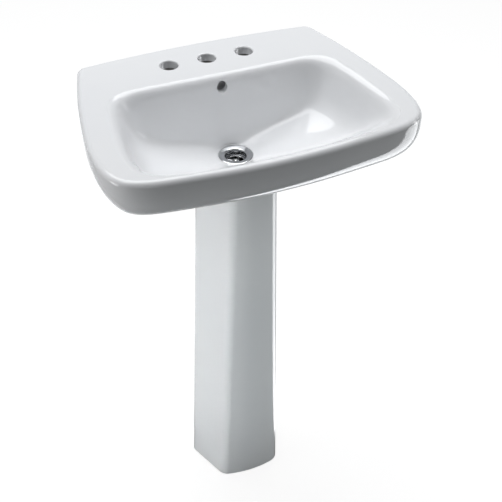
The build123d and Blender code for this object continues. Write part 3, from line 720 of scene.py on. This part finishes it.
def make_screw():
    z1 = 725.95
    prof = [(0, 716.0), (1.4, 716.0), (2.0, 716.6), (2.0, z1 - 0.6), (2.0, z1), (3.4, z1), (3.6, z1 + 0.15),
            (3.6, z1 + 0.7), (3.45, z1 + 1.05), (3.05, z1 + 1.4), (2.4, z1 + 1.7), (1.5, z1 + 1.88), (0, z1 + 1.95)]
    ob = turned("screw", prof, n=64, sharp=45)
    bm = bmesh.new()
    bmesh.ops.create_cube(bm, size=1.0)
    me = bpy.data.meshes.new("slot")
    bm.to_mesh(me)
    bm.free()
    me.transform(Matrix.Translation((0, (DRAIN_Y + SHIFT) / 1000, (z1 + 1.9) / 1000)) @ Matrix.Rotation(math.radians(20), 4, "Z")
                 @ Matrix.Diagonal((0.009, 0.0009, 0.0018, 1)))
    cut = bpy.data.objects.new("slotcut", me)
    bpy.context.scene.collection.objects.link(cut)
    boolean(ob, cut, "DIFFERENCE")
    finish_shading(ob, 40, weighted=False)
    return ob


def make_nut(name, z0, z1, r_in, across, flats=6, y=DRAIN_Y):
    """Chamfered nut: the rings follow the hexagon and are cut by the chamfer's cone."""
    n = flats * 16
    half = across / 2
    zs = [(z0, 0.0), (z0 + 0.35, 0.35 * 2.2), (z0 + 0.8, 0.8 * 2.2), (z0 + 1.6, 1.6 * 2.4), (z0 + 2.4, 9), ((z0 + z1) / 2, 9),
          (z1 - 2.4, 9), (z1 - 1.6, 1.6 * 2.4), (z1 - 0.8, 0.8 * 2.2), (z1 - 0.35, 0.35 * 2.2), (z1, 0.0)]
    rings = []
    def ring(fun, z):
        out = []
        for j in range(n):
            a = 2 * math.pi * j / n
            r = fun(a)
            out.append((r * math.sin(a), y + r * math.cos(a), z))
        return np.array(out)
    def hexr(a):
        b = (a + math.pi / flats) % (2 * math.pi / flats) - math.pi / flats
        r = half / math.cos(b)
        return min(r, half / math.cos(math.pi / flats) - 0.35)
    for z, g in zs:
        lim = half - 0.2 + g
        rings.append(ring(lambda a: min(hexr(a), lim), z))
    rings.append(ring(lambda a: r_in + 0.5, z1))
    rings.append(ring(lambda a: r_in, z1 - 0.5))
    rings.append(ring(lambda a: r_in, z0 + 0.5))
    rings.append(ring(lambda a: r_in + 0.5, z0))
    v, f = grid(rings)
    return to_object(name, v, f, sharp=28)


def make_slip_nut(name, z0, z1, y):
    """Hand-turned collar with eight flutes and a lip over the washer."""
    r_in, r_out, lip = 20.4, 24.0, 16.15
    n = 160
    body = [(z0, -0.8), (z0 + 0.35, -0.25), (z0 + 0.9, 0), (z0 + 4, 0), (z1 - 6, 0), (z1 - 2.8, 0), (z1 - 2.0, -0.35),
            (z1 - 1.1, -1.0), (z1 - 0.4, -1.9), (z1, -3.0)]
    rings = []
    def ring(fun, z):
        return np.array([(fun(2 * math.pi * j / n) * math.sin(2 * math.pi * j / n),
                          y + fun(2 * math.pi * j / n) * math.cos(2 * math.pi * j / n), z) for j in range(n)])
    def flute(a, depth=1.5):
        b = (a / (2 * math.pi / 8)) % 1.0 - 0.5
        w = max(0.0, 1 - abs(b) / 0.17)
        return depth * (w * w * (3 - 2 * w))
    for z, g in body:
        rings.append(ring(lambda a: r_out + g - max(0.0, flute(a) + g * 0.4), z))
    rings.append(ring(lambda a: lip + 1.0, z1))
    rings.append(ring(lambda a: lip + 0.2, z1 - 0.3))
    rings.append(ring(lambda a: lip, z1 - 1.0))
    rings.append(ring(lambda a: lip, z1 - 3.0))
    rings.append(ring(lambda a: r_in, z1 - 3.0))
    rings.append(ring(lambda a: r_in, z0 + 0.6))
    rings.append(ring(lambda a: r_in + 0.5, z0))
    v, f = grid(rings)
    return to_object(name, v, f, sharp=35)


def sweep_tube(name, path, r_prof, n=72):
    """Closed tube wall along a path in the y-z plane. path: (y, z) points,
    r_prof: (outer, inner) radius at each."""
    path = np.array(path, float)
    tan = np.gradient(path, axis=0)
    tan /= np.linalg.norm(tan, axis=1)[:, None]
    rings = []
    def ring(i, r):
        nrm = np.array([-tan[i, 1], tan[i, 0]])
        out = []
        for j in range(n):
            a = 2 * math.pi * j / n
            p = path[i] + nrm * (r * math.cos(a))
            out.append((r * math.sin(a), p[0], p[1]))
        return np.array(out)
    m = len(path)
    for i in range(m):
        rings.append(ring(i, r_prof[i][0]))
    for i in range(m - 1, -1, -1):
        rings.append(ring(i, r_prof[i][1]))
    v, f = grid(rings)
    return to_object(name, v, f, sharp=35)


TUBE_R, TUBE_T = 15.9, 1.2
TRAP_R, ARM_R = 45.0, 32.0
J_TOP, J_MID, J_OUT = 566.0, 500.0, 541.0
OUT_Y = DRAIN_Y + 2 * TRAP_R
ARM_END_Y = -56.9
ARM_Z = 588.0


def make_j_bend():
    pts, rad = [], []
    ri = TUBE_R - TUBE_T
    def add(y, z, ro, rin):
        pts.append((y, z))
        rad.append((ro, rin))
    soc = TUBE_R + 0.25
    # inlet socket, its neck, then the bend and the outlet spigot
    for z, ro, rin in ((J_TOP - 5, 19.6, soc + 0.5), (J_TOP - 5.4, 20.1, soc), (J_TOP - 8, 20.2, soc), (J_TOP - 14, 20.2, soc),
                       (J_TOP - 20, 20.2, soc), (J_TOP - 27.5, 20.2, soc), (J_TOP - 28.6, 20.2, soc - 0.6), (J_TOP - 29.6, 19.6, ri),
                       (J_TOP - 30.6, 18.7, ri), (J_TOP - 31.6, 17.6, ri), (J_TOP - 32.8, 16.5, ri), (J_TOP - 34.2, TUBE_R, ri),
                       (J_TOP - 42, TUBE_R, ri), (J_TOP - 54, TUBE_R, ri)):
        add(DRAIN_Y, z, ro, rin)
    for k in range(0, 37):
        a = math.pi * k / 36
        add(DRAIN_Y + TRAP_R - TRAP_R * math.cos(a), J_MID - TRAP_R * math.sin(a), TUBE_R, ri)
    for z, ro, rin in ((J_OUT - 36, TUBE_R, ri), (J_OUT - 29, TUBE_R, ri), (J_OUT - 27.6, 16.5, ri), (J_OUT - 26.2, 17.6, ri),
                       (J_OUT - 25.1, 18.7, ri), (J_OUT - 24, 19.6, ri), (J_OUT - 23, 20.2, ri), (J_OUT - 21.8, 20.2, soc - 0.4),
                       (J_OUT - 20.8, 20.2, soc), (J_OUT - 12, 20.2, soc), (J_OUT - 5.4, 20.1, soc), (J_OUT - 5, 19.6, soc + 0.5)):
        add(OUT_Y, z, ro, rin)
    ob = sweep_tube("j_bend", pts, rad)
    yc, zc = DRAIN_Y + TRAP_R, J_MID - TRAP_R - TUBE_R
    sp = turned("spig", round_profile([(0, zc + 4), (0, zc - 7), (9.5, zc - 7), (9.5, zc + 4)], [0, 0, 0.5, 0]), yc, n=64)
    boolean(ob, sp, "UNION")
    boolean(ob, turned("hole", [(0, zc + 8), (0, zc - 9), (6.5, zc - 9), (6.5, zc + 8)], yc, n=48), "DIFFERENCE")
    weld(ob, 1e-6)
    finish_shading(ob, 35, weighted=False)
    return ob


def make_arm():
    pts, rad = [], []
    z0, z1 = J_OUT - 21, 556.0
    for z in (z0, z0 + 0.5, z0 + 6, z0 + 14, z0 + 22, z0 + 29):
        pts.append((OUT_Y, z))
    for k in range(0, 25):
        a = math.pi / 2 * k / 24
        pts.append((OUT_Y + ARM_R - ARM_R * math.cos(a), z1 + ARM_R * math.sin(a)))
    y1 = OUT_Y + ARM_R
    for y in np.linspace(y1, ARM_END_Y, 5)[1:-1]:
        pts.append((y, ARM_Z))
    pts += [(ARM_END_Y - 0.4, ARM_Z), (ARM_END_Y, ARM_Z)]
    rad = [(TUBE_R, TUBE_R - TUBE_T)] * len(pts)
    rad[0] = rad[-1] = (TUBE_R - 0.25, TUBE_R - TUBE_T + 0.2)
    return sweep_tube("arm_tube", pts, rad)


# ------------------------------------------------------------------ materials
class Nodes:
    def __init__(self, name):
        self.mat = bpy.data.materials.new(name)
        self.mat.use_nodes = True
        self.t = self.mat.node_tree
        self.t.nodes.clear()
        self.out = self.t.nodes.new("ShaderNodeOutputMaterial")
        self.bsdf = self.t.nodes.new("ShaderNodeBsdfPrincipled")
        self.t.links.new(self.bsdf.outputs[0], self.out.inputs[0])

    def add(self, kind, **props):
        n = self.t.nodes.new(kind)
        for k, v in props.items():
            setattr(n, k, v)
        return n

    def link(self, a, b):
        self.t.links.new(a, b)

    def coords(self, scale=(1, 1, 1), rot=(0, 0, 0)):
        if not hasattr(self, "_tc"):
            self._tc = self.add("ShaderNodeTexCoord")
        m = self.add("ShaderNodeMapping")
        m.inputs["Scale"].default_value = scale
        m.inputs["Rotation"].default_value = rot
        self.link(self._tc.outputs["Object"], m.inputs["Vector"])
        return m.outputs[0]

    def noise(self, scale, detail=4, rough=0.55, vec=None, dist=0.0):
        n = self.add("ShaderNodeTexNoise")
        n.inputs["Scale"].default_value = scale
        n.inputs["Detail"].default_value = detail
        n.inputs["Roughness"].default_value = rough
        n.inputs["Distortion"].default_value = dist
        self.link(vec if vec is not None else self.coords(), n.inputs["Vector"])
        return n.outputs["Fac"]

    def ramp(self, fac, stops):
        r = self.add("ShaderNodeValToRGB")
        e = r.color_ramp.elements
        while len(e) < len(stops):
            e.new(0.5)
        for el, (p, c) in zip(e, stops):
            el.position = p
            el.color = (c, c, c, 1) if isinstance(c, (int, float)) else (*c, 1)
        self.link(fac, r.inputs[0])
        return r.outputs[0]

    def maprange(self, fac, a, b, c, d, clamp=True):
        m = self.add("ShaderNodeMapRange")
        m.clamp = clamp
        for k, v in zip(("From Min", "From Max", "To Min", "To Max"), (a, b, c, d)):
            m.inputs[k].default_value = v
        self.link(fac, m.inputs["Value"])
        return m.outputs[0]

    def math(self, op, a, b=None, c=None):
        m = self.add("ShaderNodeMath", operation=op)
        for i, v in enumerate((a, b, c)):
            if v is None:
                continue
            if isinstance(v, (int, float)):
                m.inputs[i].default_value = v
            else:
                self.link(v, m.inputs[i])
        return m.outputs[0]

    def mixc(self, fac, a, b):
        m = self.add("ShaderNodeMix", data_type="RGBA")
        ins = [s for s in m.inputs if s.enabled]
        for s, v in zip((m.inputs[0], m.inputs[6], m.inputs[7]), (fac, a, b)):
            if isinstance(v, (int, float)):
                s.default_value = v
            elif isinstance(v, tuple):
                s.default_value = (*v, 1)
            else:
                self.link(v, s)
        return m.outputs[2]

    def bump(self, height, strength, distance, normal=None):
        b = self.add("ShaderNodeBump")
        b.inputs["Strength"].default_value = strength
        b.inputs["Distance"].default_value = distance
        self.link(height, b.inputs["Height"])
        if normal is not None:
            self.link(normal, b.inputs["Normal"])
        self.link(b.outputs[0], self.bsdf.inputs["Normal"])
        return b.outputs[0]


def mat_china(name, bare_below=None):
    """Vitreous china: thick white glaze with a faint tone change, softly waved,
    and bare biscuit where the piece stood in the kiln; on the basin the inner face
    of the back wall is painted near-black as shade."""
    m = Nodes(name)
    b = m.bsdf
    tone = m.noise(3.2, 3, 0.5)
    fine = m.noise(34.0, 4, 0.6)
    glaze = m.ramp(m.math("ADD", m.math("MULTIPLY", tone, 0.8), m.math("MULTIPLY", fine, 0.2)),
                   [(0.34, (0.842, 0.853, 0.872)), (0.66, (0.872, 0.880, 0.893))])
    speck = m.noise(620.0, 1, 0.4)
    speck = m.ramp(speck, [(0.75, 1.0), (0.80, 0.93)])
    mul = m.add("ShaderNodeMix", data_type="RGBA", blend_type="MULTIPLY")
    mul.inputs[0].default_value = 1.0
    m.link(glaze, mul.inputs[6])
    m.link(speck, mul.inputs[7])
    col = mul.outputs[2]
    rough = m.maprange(m.noise(11.0, 5, 0.6), 0.3, 0.7, 0.035, 0.065)
    # bare biscuit: faces that look straight down and the column's foot edge;
    # the inner face of the back wall gets painted shade, a near-black colour
    geo = m.add("ShaderNodeNewGeometry")
    sep = m.add("ShaderNodeSeparateXYZ")
    m.link(geo.outputs["Normal"], sep.inputs[0])
    pos = m.add("ShaderNodeSeparateXYZ")
    m.link(m._tc.outputs["Object"], pos.inputs[0])
    edge = m.noise(60.0, 3, 0.6)
    grain = m.noise(900.0, 2, 0.5)
    biscuit_and_shade_col = m.ramp(grain, [(0.35, (0.70, 0.68, 0.64)), (0.65, (0.79, 0.775, 0.74))])
    if bare_below is not None:
        bare_and_shade_mask = m.maprange(m.math("ADD", pos.outputs[2], m.math("MULTIPLY", edge, 0.004)),
                          bare_below + 0.002, bare_below + 0.0035, 1.0, 0.0)
    else:
        down = m.maprange(sep.outputs[2], -0.93, -0.60, 1.0, 0.0)
        back = m.math("MULTIPLY", m.maprange(sep.outputs[1], -0.35, -0.6, 0.0, 1.0),
                      m.maprange(pos.outputs[1], 0.160, 0.168, 0.0, 1.0))
        back = m.math("MULTIPLY", back, m.maprange(pos.outputs[2], 0.842, 0.846, 1.0, 0.0))
        bare_and_shade_mask = m.math("MAXIMUM", down, back)
        # painted shade: near-black colour for the inner face of the back wall, seen through the tap holes
        back_wall_painted_shade = m.ramp(grain, [(0.35, (0.17, 0.165, 0.155)), (0.65, (0.24, 0.235, 0.22))])
        biscuit_and_shade_col = m.mixc(back, biscuit_and_shade_col, back_wall_painted_shade)
    col = m.mixc(bare_and_shade_mask, col, biscuit_and_shade_col)
    m.link(col, b.inputs["Base Color"])
    rmix = m.add("ShaderNodeMix", data_type="FLOAT")
    m.link(bare_and_shade_mask, rmix.inputs[0])
    m.link(rough, rmix.inputs[2])
    rmix.inputs[3].default_value = 0.75
    m.link(rmix.outputs[0], b.inputs["Roughness"])
    b.inputs["IOR"].default_value = 1.52
    b.inputs["Subsurface Weight"].default_value = 0.0
    # wide, very low waves of the glaze, and a fine grain only on the biscuit and the painted-shade face
    waves = m.bump(m.noise(14.0, 2, 0.4), 0.22, 0.0011)
    g2 = m.add("ShaderNodeBump")
    g2.inputs["Distance"].default_value = 0.0002
    m.link(m.math("MULTIPLY", grain, bare_and_shade_mask), g2.inputs["Height"])
    g2.inputs["Strength"].default_value = 0.5
    m.link(waves, g2.inputs["Normal"])
    m.link(g2.outputs[0], b.inputs["Normal"])
    return m.mat


def mat_metal(name, base, rough, wear=0.5, tint=None, streak=(1, 1, 1)):
    m = Nodes(name)
    b = m.bsdf
    b.inputs["Metallic"].default_value = 1.0
    blot = m.noise(45.0, 5, 0.62)
    lines = m.noise(900.0, 2, 0.5, vec=m.coords(scale=streak))
    c0 = tuple(x * 0.94 for x in base)
    col = m.ramp(m.math("ADD", m.math("MULTIPLY", blot, 0.8), m.math("MULTIPLY", lines, 0.2)), [(0.3, c0), (0.7, base)])
    if tint:
        spots = m.ramp(m.noise(150.0, 4, 0.7), [(0.58, 0.0), (0.78, 1.0)])
        col = m.mixc(m.math("MULTIPLY", spots, wear), col, tint)
    m.link(col, b.inputs["Base Color"])
    r = m.math("ADD", m.math("MULTIPLY", blot, 0.7), m.math("MULTIPLY", lines, 0.3))
    m.link(m.maprange(r, 0.3, 0.7, rough[0], rough[1]), b.inputs["Roughness"])
    m.bump(lines, 0.10 * wear, 0.00012)
    return m.mat


def mat_soft(name, c0, c1, rough, scale=260.0, bump=0.25, speck=None):
    m = Nodes(name)
    b = m.bsdf
    n1, n2 = m.noise(40.0, 4, 0.6), m.noise(scale, 3, 0.6)
    mixn = m.math("ADD", m.math("MULTIPLY", n1, 0.6), m.math("MULTIPLY", n2, 0.4))
    col = m.ramp(mixn, [(0.32, c0), (0.68, c1)])
    if speck:
        s = m.ramp(m.noise(700.0, 1, 0.4), [(0.70, 0.0), (0.76, 1.0)])
        col = m.mixc(m.math("MULTIPLY", s, 0.6), col, speck)
    m.link(col, b.inputs["Base Color"])
    m.link(m.maprange(n2, 0.3, 0.7, rough[0], rough[1]), b.inputs["Roughness"])
    m.bump(n2, bump, 0.00025)
    return m.mat


MATS = {
    "china_basin": mat_china("china_basin", None),
    "china_column": mat_china("china_column", 0.0),
    "waste_chrome": mat_metal("waste_chrome", (0.60, 0.61, 0.625), (0.05, 0.14), 0.5),
    "steel": mat_metal("screw_steel", (0.62, 0.62, 0.61), (0.18, 0.34), 1.0, (0.40, 0.39, 0.38)),
    "tube_chrome": mat_metal("tube_chrome", (0.78, 0.785, 0.80), (0.07, 0.20), 0.7, (0.60, 0.58, 0.55), (1, 1, 0.15)),
    "brass": mat_metal("nut_brass", (0.80, 0.62, 0.30), (0.20, 0.40), 1.0, (0.42, 0.30, 0.14)),
    "black_rubber": mat_soft("black_rubber", (0.018, 0.018, 0.019), (0.035, 0.034, 0.033), (0.45, 0.68), 320.0, 0.4),
    "white_seal": mat_soft("white_seal", (0.66, 0.65, 0.61), (0.76, 0.75, 0.71), (0.30, 0.48)),
    "nylon": mat_soft("nylon", (0.60, 0.60, 0.56), (0.72, 0.72, 0.68), (0.28, 0.45)),
    "sealant": mat_soft("sealant", (0.70, 0.70, 0.68), (0.80, 0.80, 0.78), (0.30, 0.5), 120.0, 0.5),
}


def place(ob, nodes, mat):
    nodes = (nodes,) if isinstance(nodes, str) else nodes
    ob.data.materials.clear()
    ob.data.materials.append(MATS[mat])
    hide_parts(*nodes)
    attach(ob, "root")
    return ob


place(make_basin(), ("basin_deck", "basin_back_wall", "basin_apron_left", "basin_apron_right",
                     "basin_apron_front", "basin_bowl_left", "basin_bowl_right", "basin_boss",
                     "basin_overflow_duct", "basin_column_seat"), "china_basin")
place(make_column(), "pedestal", "china_column")

bead = []
for z, o in ((PED_H, 2.6), (PED_H + 0.4, 1.9), (PED_H + 1.1, 1.9), (PED_SEAT, 2.6)):
    bead.append(column_loop(z, o, 8.6 - 2 * (o - 1.9), at=PED_H))
place(shell_from("bedding_bead", bead), "pedestal_bedding", "sealant")

place(make_waste(), "drain_body", "waste_chrome")
place(make_strainer(), "drain_strainer", "waste_chrome")
place(make_screw(), "strainer_screw", "steel")
place(turned("flange_putty", round_profile([(20.6, SEAT_Z), (29.2, SEAT_Z), (29.4, 737.3), (20.6, 737.3)], [0, 0.2, 0.4, 0]), n=96),
      "flange_gasket", "white_seal")
B = BOSS_Z
place(turned("tapered_gasket", round_profile([(20.55, B - 12), (30, B - 12), (30, B - 5), (27, B - 0.05), (22.2, B - 0.05), (21.9, B + 3), (20.55, B + 3)],
                                             [0.3, 1.0, 1.2, 0.6, 0.3, 0.3, 0.2]), n=96), "mack_gasket", "black_rubber")
place(turned("fibre_washer", round_profile([(20.75, B - 14.5), (29, B - 14.5), (29, B - 12), (20.75, B - 12)], [0.3, 0.4, 0.4, 0.3]), n=96),
      "slip_washer", "nylon")
place(make_nut("waste_lock_nut", B - 25.5, B - 14.5, 20.55, 52), "lock_nut", "brass")
place(turned("tail_tube", round_profile([(14.7, 548), (15.9, 548), (15.9, 580), (15.9, 610), (15.9, 640), (15.9, 673.5), (14.7, 673.5), (14.7, 640), (14.7, 610), (14.7, 580)],
                                        [0.2, 0.3, 0, 0, 0, 0.3, 0.2, 0, 0, 0]), n=96), "tailpiece", "tube_chrome")
place(make_nut("tail_nut", 652 - 13, 652 - 4, 15.95, 40), "tailpiece_nut", "brass")
place(turned("tail_seal", round_profile([(15.95, 648), (20, 648), (20, 652), (15.95, 652)], [0.3, 0.5, 0.5, 0.3]), n=96),
      "tailpiece_washer", "black_rubber")
place(make_slip_nut("inlet_slip_nut", J_TOP - 14, J_TOP + 2, DRAIN_Y), "trap_inlet_nut", "tube_chrome")
place(turned("inlet_seal", round_profile([(15.95, J_TOP - 5), (20.2, J_TOP - 5), (20.2, J_TOP - 1), (15.95, J_TOP - 1)], [0.3, 0.4, 0.6, 0.3]), n=96),
      "trap_inlet_washer", "white_seal")
place(make_j_bend(), "trap_j_bend", "tube_chrome")
place(make_slip_nut("outlet_slip_nut", J_OUT - 14, J_OUT + 2, OUT_Y), "trap_outlet_nut", "tube_chrome")
place(turned("outlet_seal", round_profile([(15.95, J_OUT - 5), (20.2, J_OUT - 5), (20.2, J_OUT - 1), (15.95, J_OUT - 1)], [0.3, 0.4, 0.6, 0.3]), OUT_Y, n=96),
      "trap_outlet_washer", "white_seal")
place(make_arm(), "trap_arm", "tube_chrome")
yc, zc = DRAIN_Y + TRAP_R, J_MID - TRAP_R - TUBE_R
plug = make_nut("cleanout_screw", zc - 15.5, zc - 9.0, 0.4, 18, y=yc)
boolean(plug, turned("shank", round_profile([(0, zc - 14), (6.4, zc - 14), (6.4, zc - 1), (0, zc - 1)], [0, 0, 0.6, 0]), yc, n=48), "UNION")
place(plug, "cleanout_plug", "brass")
place(turned("cleanout_seal", round_profile([(6.5, zc - 9), (9, zc - 9), (9, zc - 7), (6.5, zc - 7)], [0.2, 0.6, 0.6, 0.2]), yc, n=64),
      "cleanout_gasket", "black_rubber")


# ------------------------------------------------------------------ stage
def plane(name, sx, sy, loc):
    me = bpy.data.meshes.new(name)
    x, y = sx / 2, sy / 2
    me.from_pydata([(-x, -y, 0), (x, -y, 0), (x, y, 0), (-x, y, 0)], [], [(0, 1, 2, 3)])
    ob = bpy.data.objects.new(name, me)
    ob.location = loc
    bpy.context.scene.collection.objects.link(ob)
    return ob


floor = plane("studio_floor", 40, 40, (0, 0, 0))
m = Nodes("studio_floor")
m.t.nodes.remove(m.bsdf)
dif = m.add("ShaderNodeBsdfDiffuse")
dif.inputs["Color"].default_value = (0.25, 0.25, 0.25, 1)
glow = m.add("ShaderNodeEmission")
glow.inputs["Color"].default_value = (1, 1, 1, 1)
glow.inputs["Strength"].default_value = 0.87
add = m.add("ShaderNodeAddShader")
m.link(dif.outputs[0], add.inputs[0])
m.link(glow.outputs[0], add.inputs[1])
path = m.add("ShaderNodeLightPath")
mx = m.add("ShaderNodeMixShader")
m.link(path.outputs["Is Camera Ray"], mx.inputs[0])
# behind the sink and to its right the floor glows for glossy rays only: a painted reflection that puts highlights on
# the glaze
glossy_only_reflection_glow = m.add("ShaderNodeEmission")
glossy_only_reflection_glow.inputs["Color"].default_value = (0.96, 0.98, 1.0, 1)
m._tc = m.add("ShaderNodeTexCoord")
fpos = m.add("ShaderNodeSeparateXYZ")
m.link(m._tc.outputs["Object"], fpos.inputs[0])
behind = m.math("MULTIPLY", m.maprange(fpos.outputs[1], 0.02, 0.35, 0.0, 1.1),
                m.maprange(fpos.outputs[0], -0.7, 0.1, 0.35, 1.0))
wedge = m.math("ADD", fpos.outputs[1], m.math("MULTIPLY", fpos.outputs[0], 0.60))
right = m.math("MULTIPLY", m.maprange(wedge, 0.0, 0.05, 0.0, 4.6), m.maprange(fpos.outputs[0], 0.10, 0.14, 0.0, 1.0))
right = m.math("MULTIPLY", right, m.maprange(fpos.outputs[1], 0.0, 0.12, 1.0, 0.0))
# painted reflection: this glow's strength is nonzero only for glossy rays
m.link(m.math("MULTIPLY", path.outputs["Is Glossy Ray"], m.math("MAXIMUM", behind, right)), glossy_only_reflection_glow.inputs["Strength"])
both = m.add("ShaderNodeAddShader")
m.link(dif.outputs[0], both.inputs[0])
m.link(glossy_only_reflection_glow.outputs[0], both.inputs[1])
m.link(both.outputs[0], mx.inputs[1])
m.link(add.outputs[0], mx.inputs[2])
m.link(mx.outputs[0], m.out.inputs[0])
floor.data.materials.append(m.mat)
floor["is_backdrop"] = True


def area(name, loc, target, sx, sy, power, color=(1, 1, 1), spread=None):
    li = bpy.data.lights.new(name, "AREA")
    li.shape = "RECTANGLE"
    li.size, li.size_y = sx, sy
    li.energy = power
    li.color = color
    if spread:
        li.spread = math.radians(spread)
    ob = bpy.data.objects.new(name, li)
    ob.location = loc
    d = Vector(target) - Vector(loc)
    ob.rotation_euler = d.to_track_quat("-Z", "Y").to_euler()
    bpy.context.scene.collection.objects.link(ob)
    return ob


area("top_softbox", (0.0, 0.75, 2.9), (0, 0, 0.8), 2.6, 2.0, 60, (0.98, 0.99, 1.0))
area("left_softbox", (-2.4, -0.05, 0.40), (0, -0.1, 0.40), 1.0, 0.75, 15)
area("column_left", (-2.6, 0.0, 0.29), (0, -0.1, 0.29), 1.0, 0.9, 1.02, spread=12)
area("right_strip", (2.0, -0.6, 0.9), (0, -0.1, 0.6), 0.35, 1.6, 7)
area("column_front", (-0.5, -2.6, 0.30), (-0.1, -0.1, 0.30), 1.2, 0.9, 1.02, (0.92, 0.99, 1.0), spread=12)

world = bpy.data.worlds.new("studio")
bpy.context.scene.world = world
world.use_nodes = True
bg = world.node_tree.nodes["Background"]
bg.inputs["Color"].default_value = (1, 1, 1, 1)
bg.inputs["Strength"].default_value = 0.11

scene = bpy.context.scene
scene.view_settings.view_transform = "Standard"
scene.view_settings.look = "None"
scene.view_settings.exposure = 0.0
scene.view_settings.gamma = 1.0

cam_data = bpy.data.cameras.new("camera")
cam = bpy.data.objects.new("camera", cam_data)
scene.collection.objects.link(cam)
Rv = Vector((0.92076661, -0.39003179, 0.01300138))
Uv = Vector((0.23444264, 0.57941494, 0.7805836))
Fv = Vector((0.31196127, 0.71567636, -0.62490992))
rot = Matrix((Rv, Uv, -Fv)).transposed()
rot = rot.to_quaternion().normalized().to_matrix()
cam.matrix_world = Matrix.Translation((-0.62423, -1.70234 + SHIFT / 1000, 1.82639)) @ rot.to_4x4()
cam_data.sensor_width = 36.0
cam_data.lens = 79.53
cam_data.clip_start, cam_data.clip_end = 0.05, 60
cam_data.dof.use_dof = False
scene.camera = cam

END_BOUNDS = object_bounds()


def plain(b):
    if isinstance(b, (int, float)):
        return float(b)
    if isinstance(b, dict):
        return {k: plain(v) for k, v in b.items()}
    return [plain(v) for v in b]


{"start": plain(START_BOUNDS), "end": plain(END_BOUNDS)}
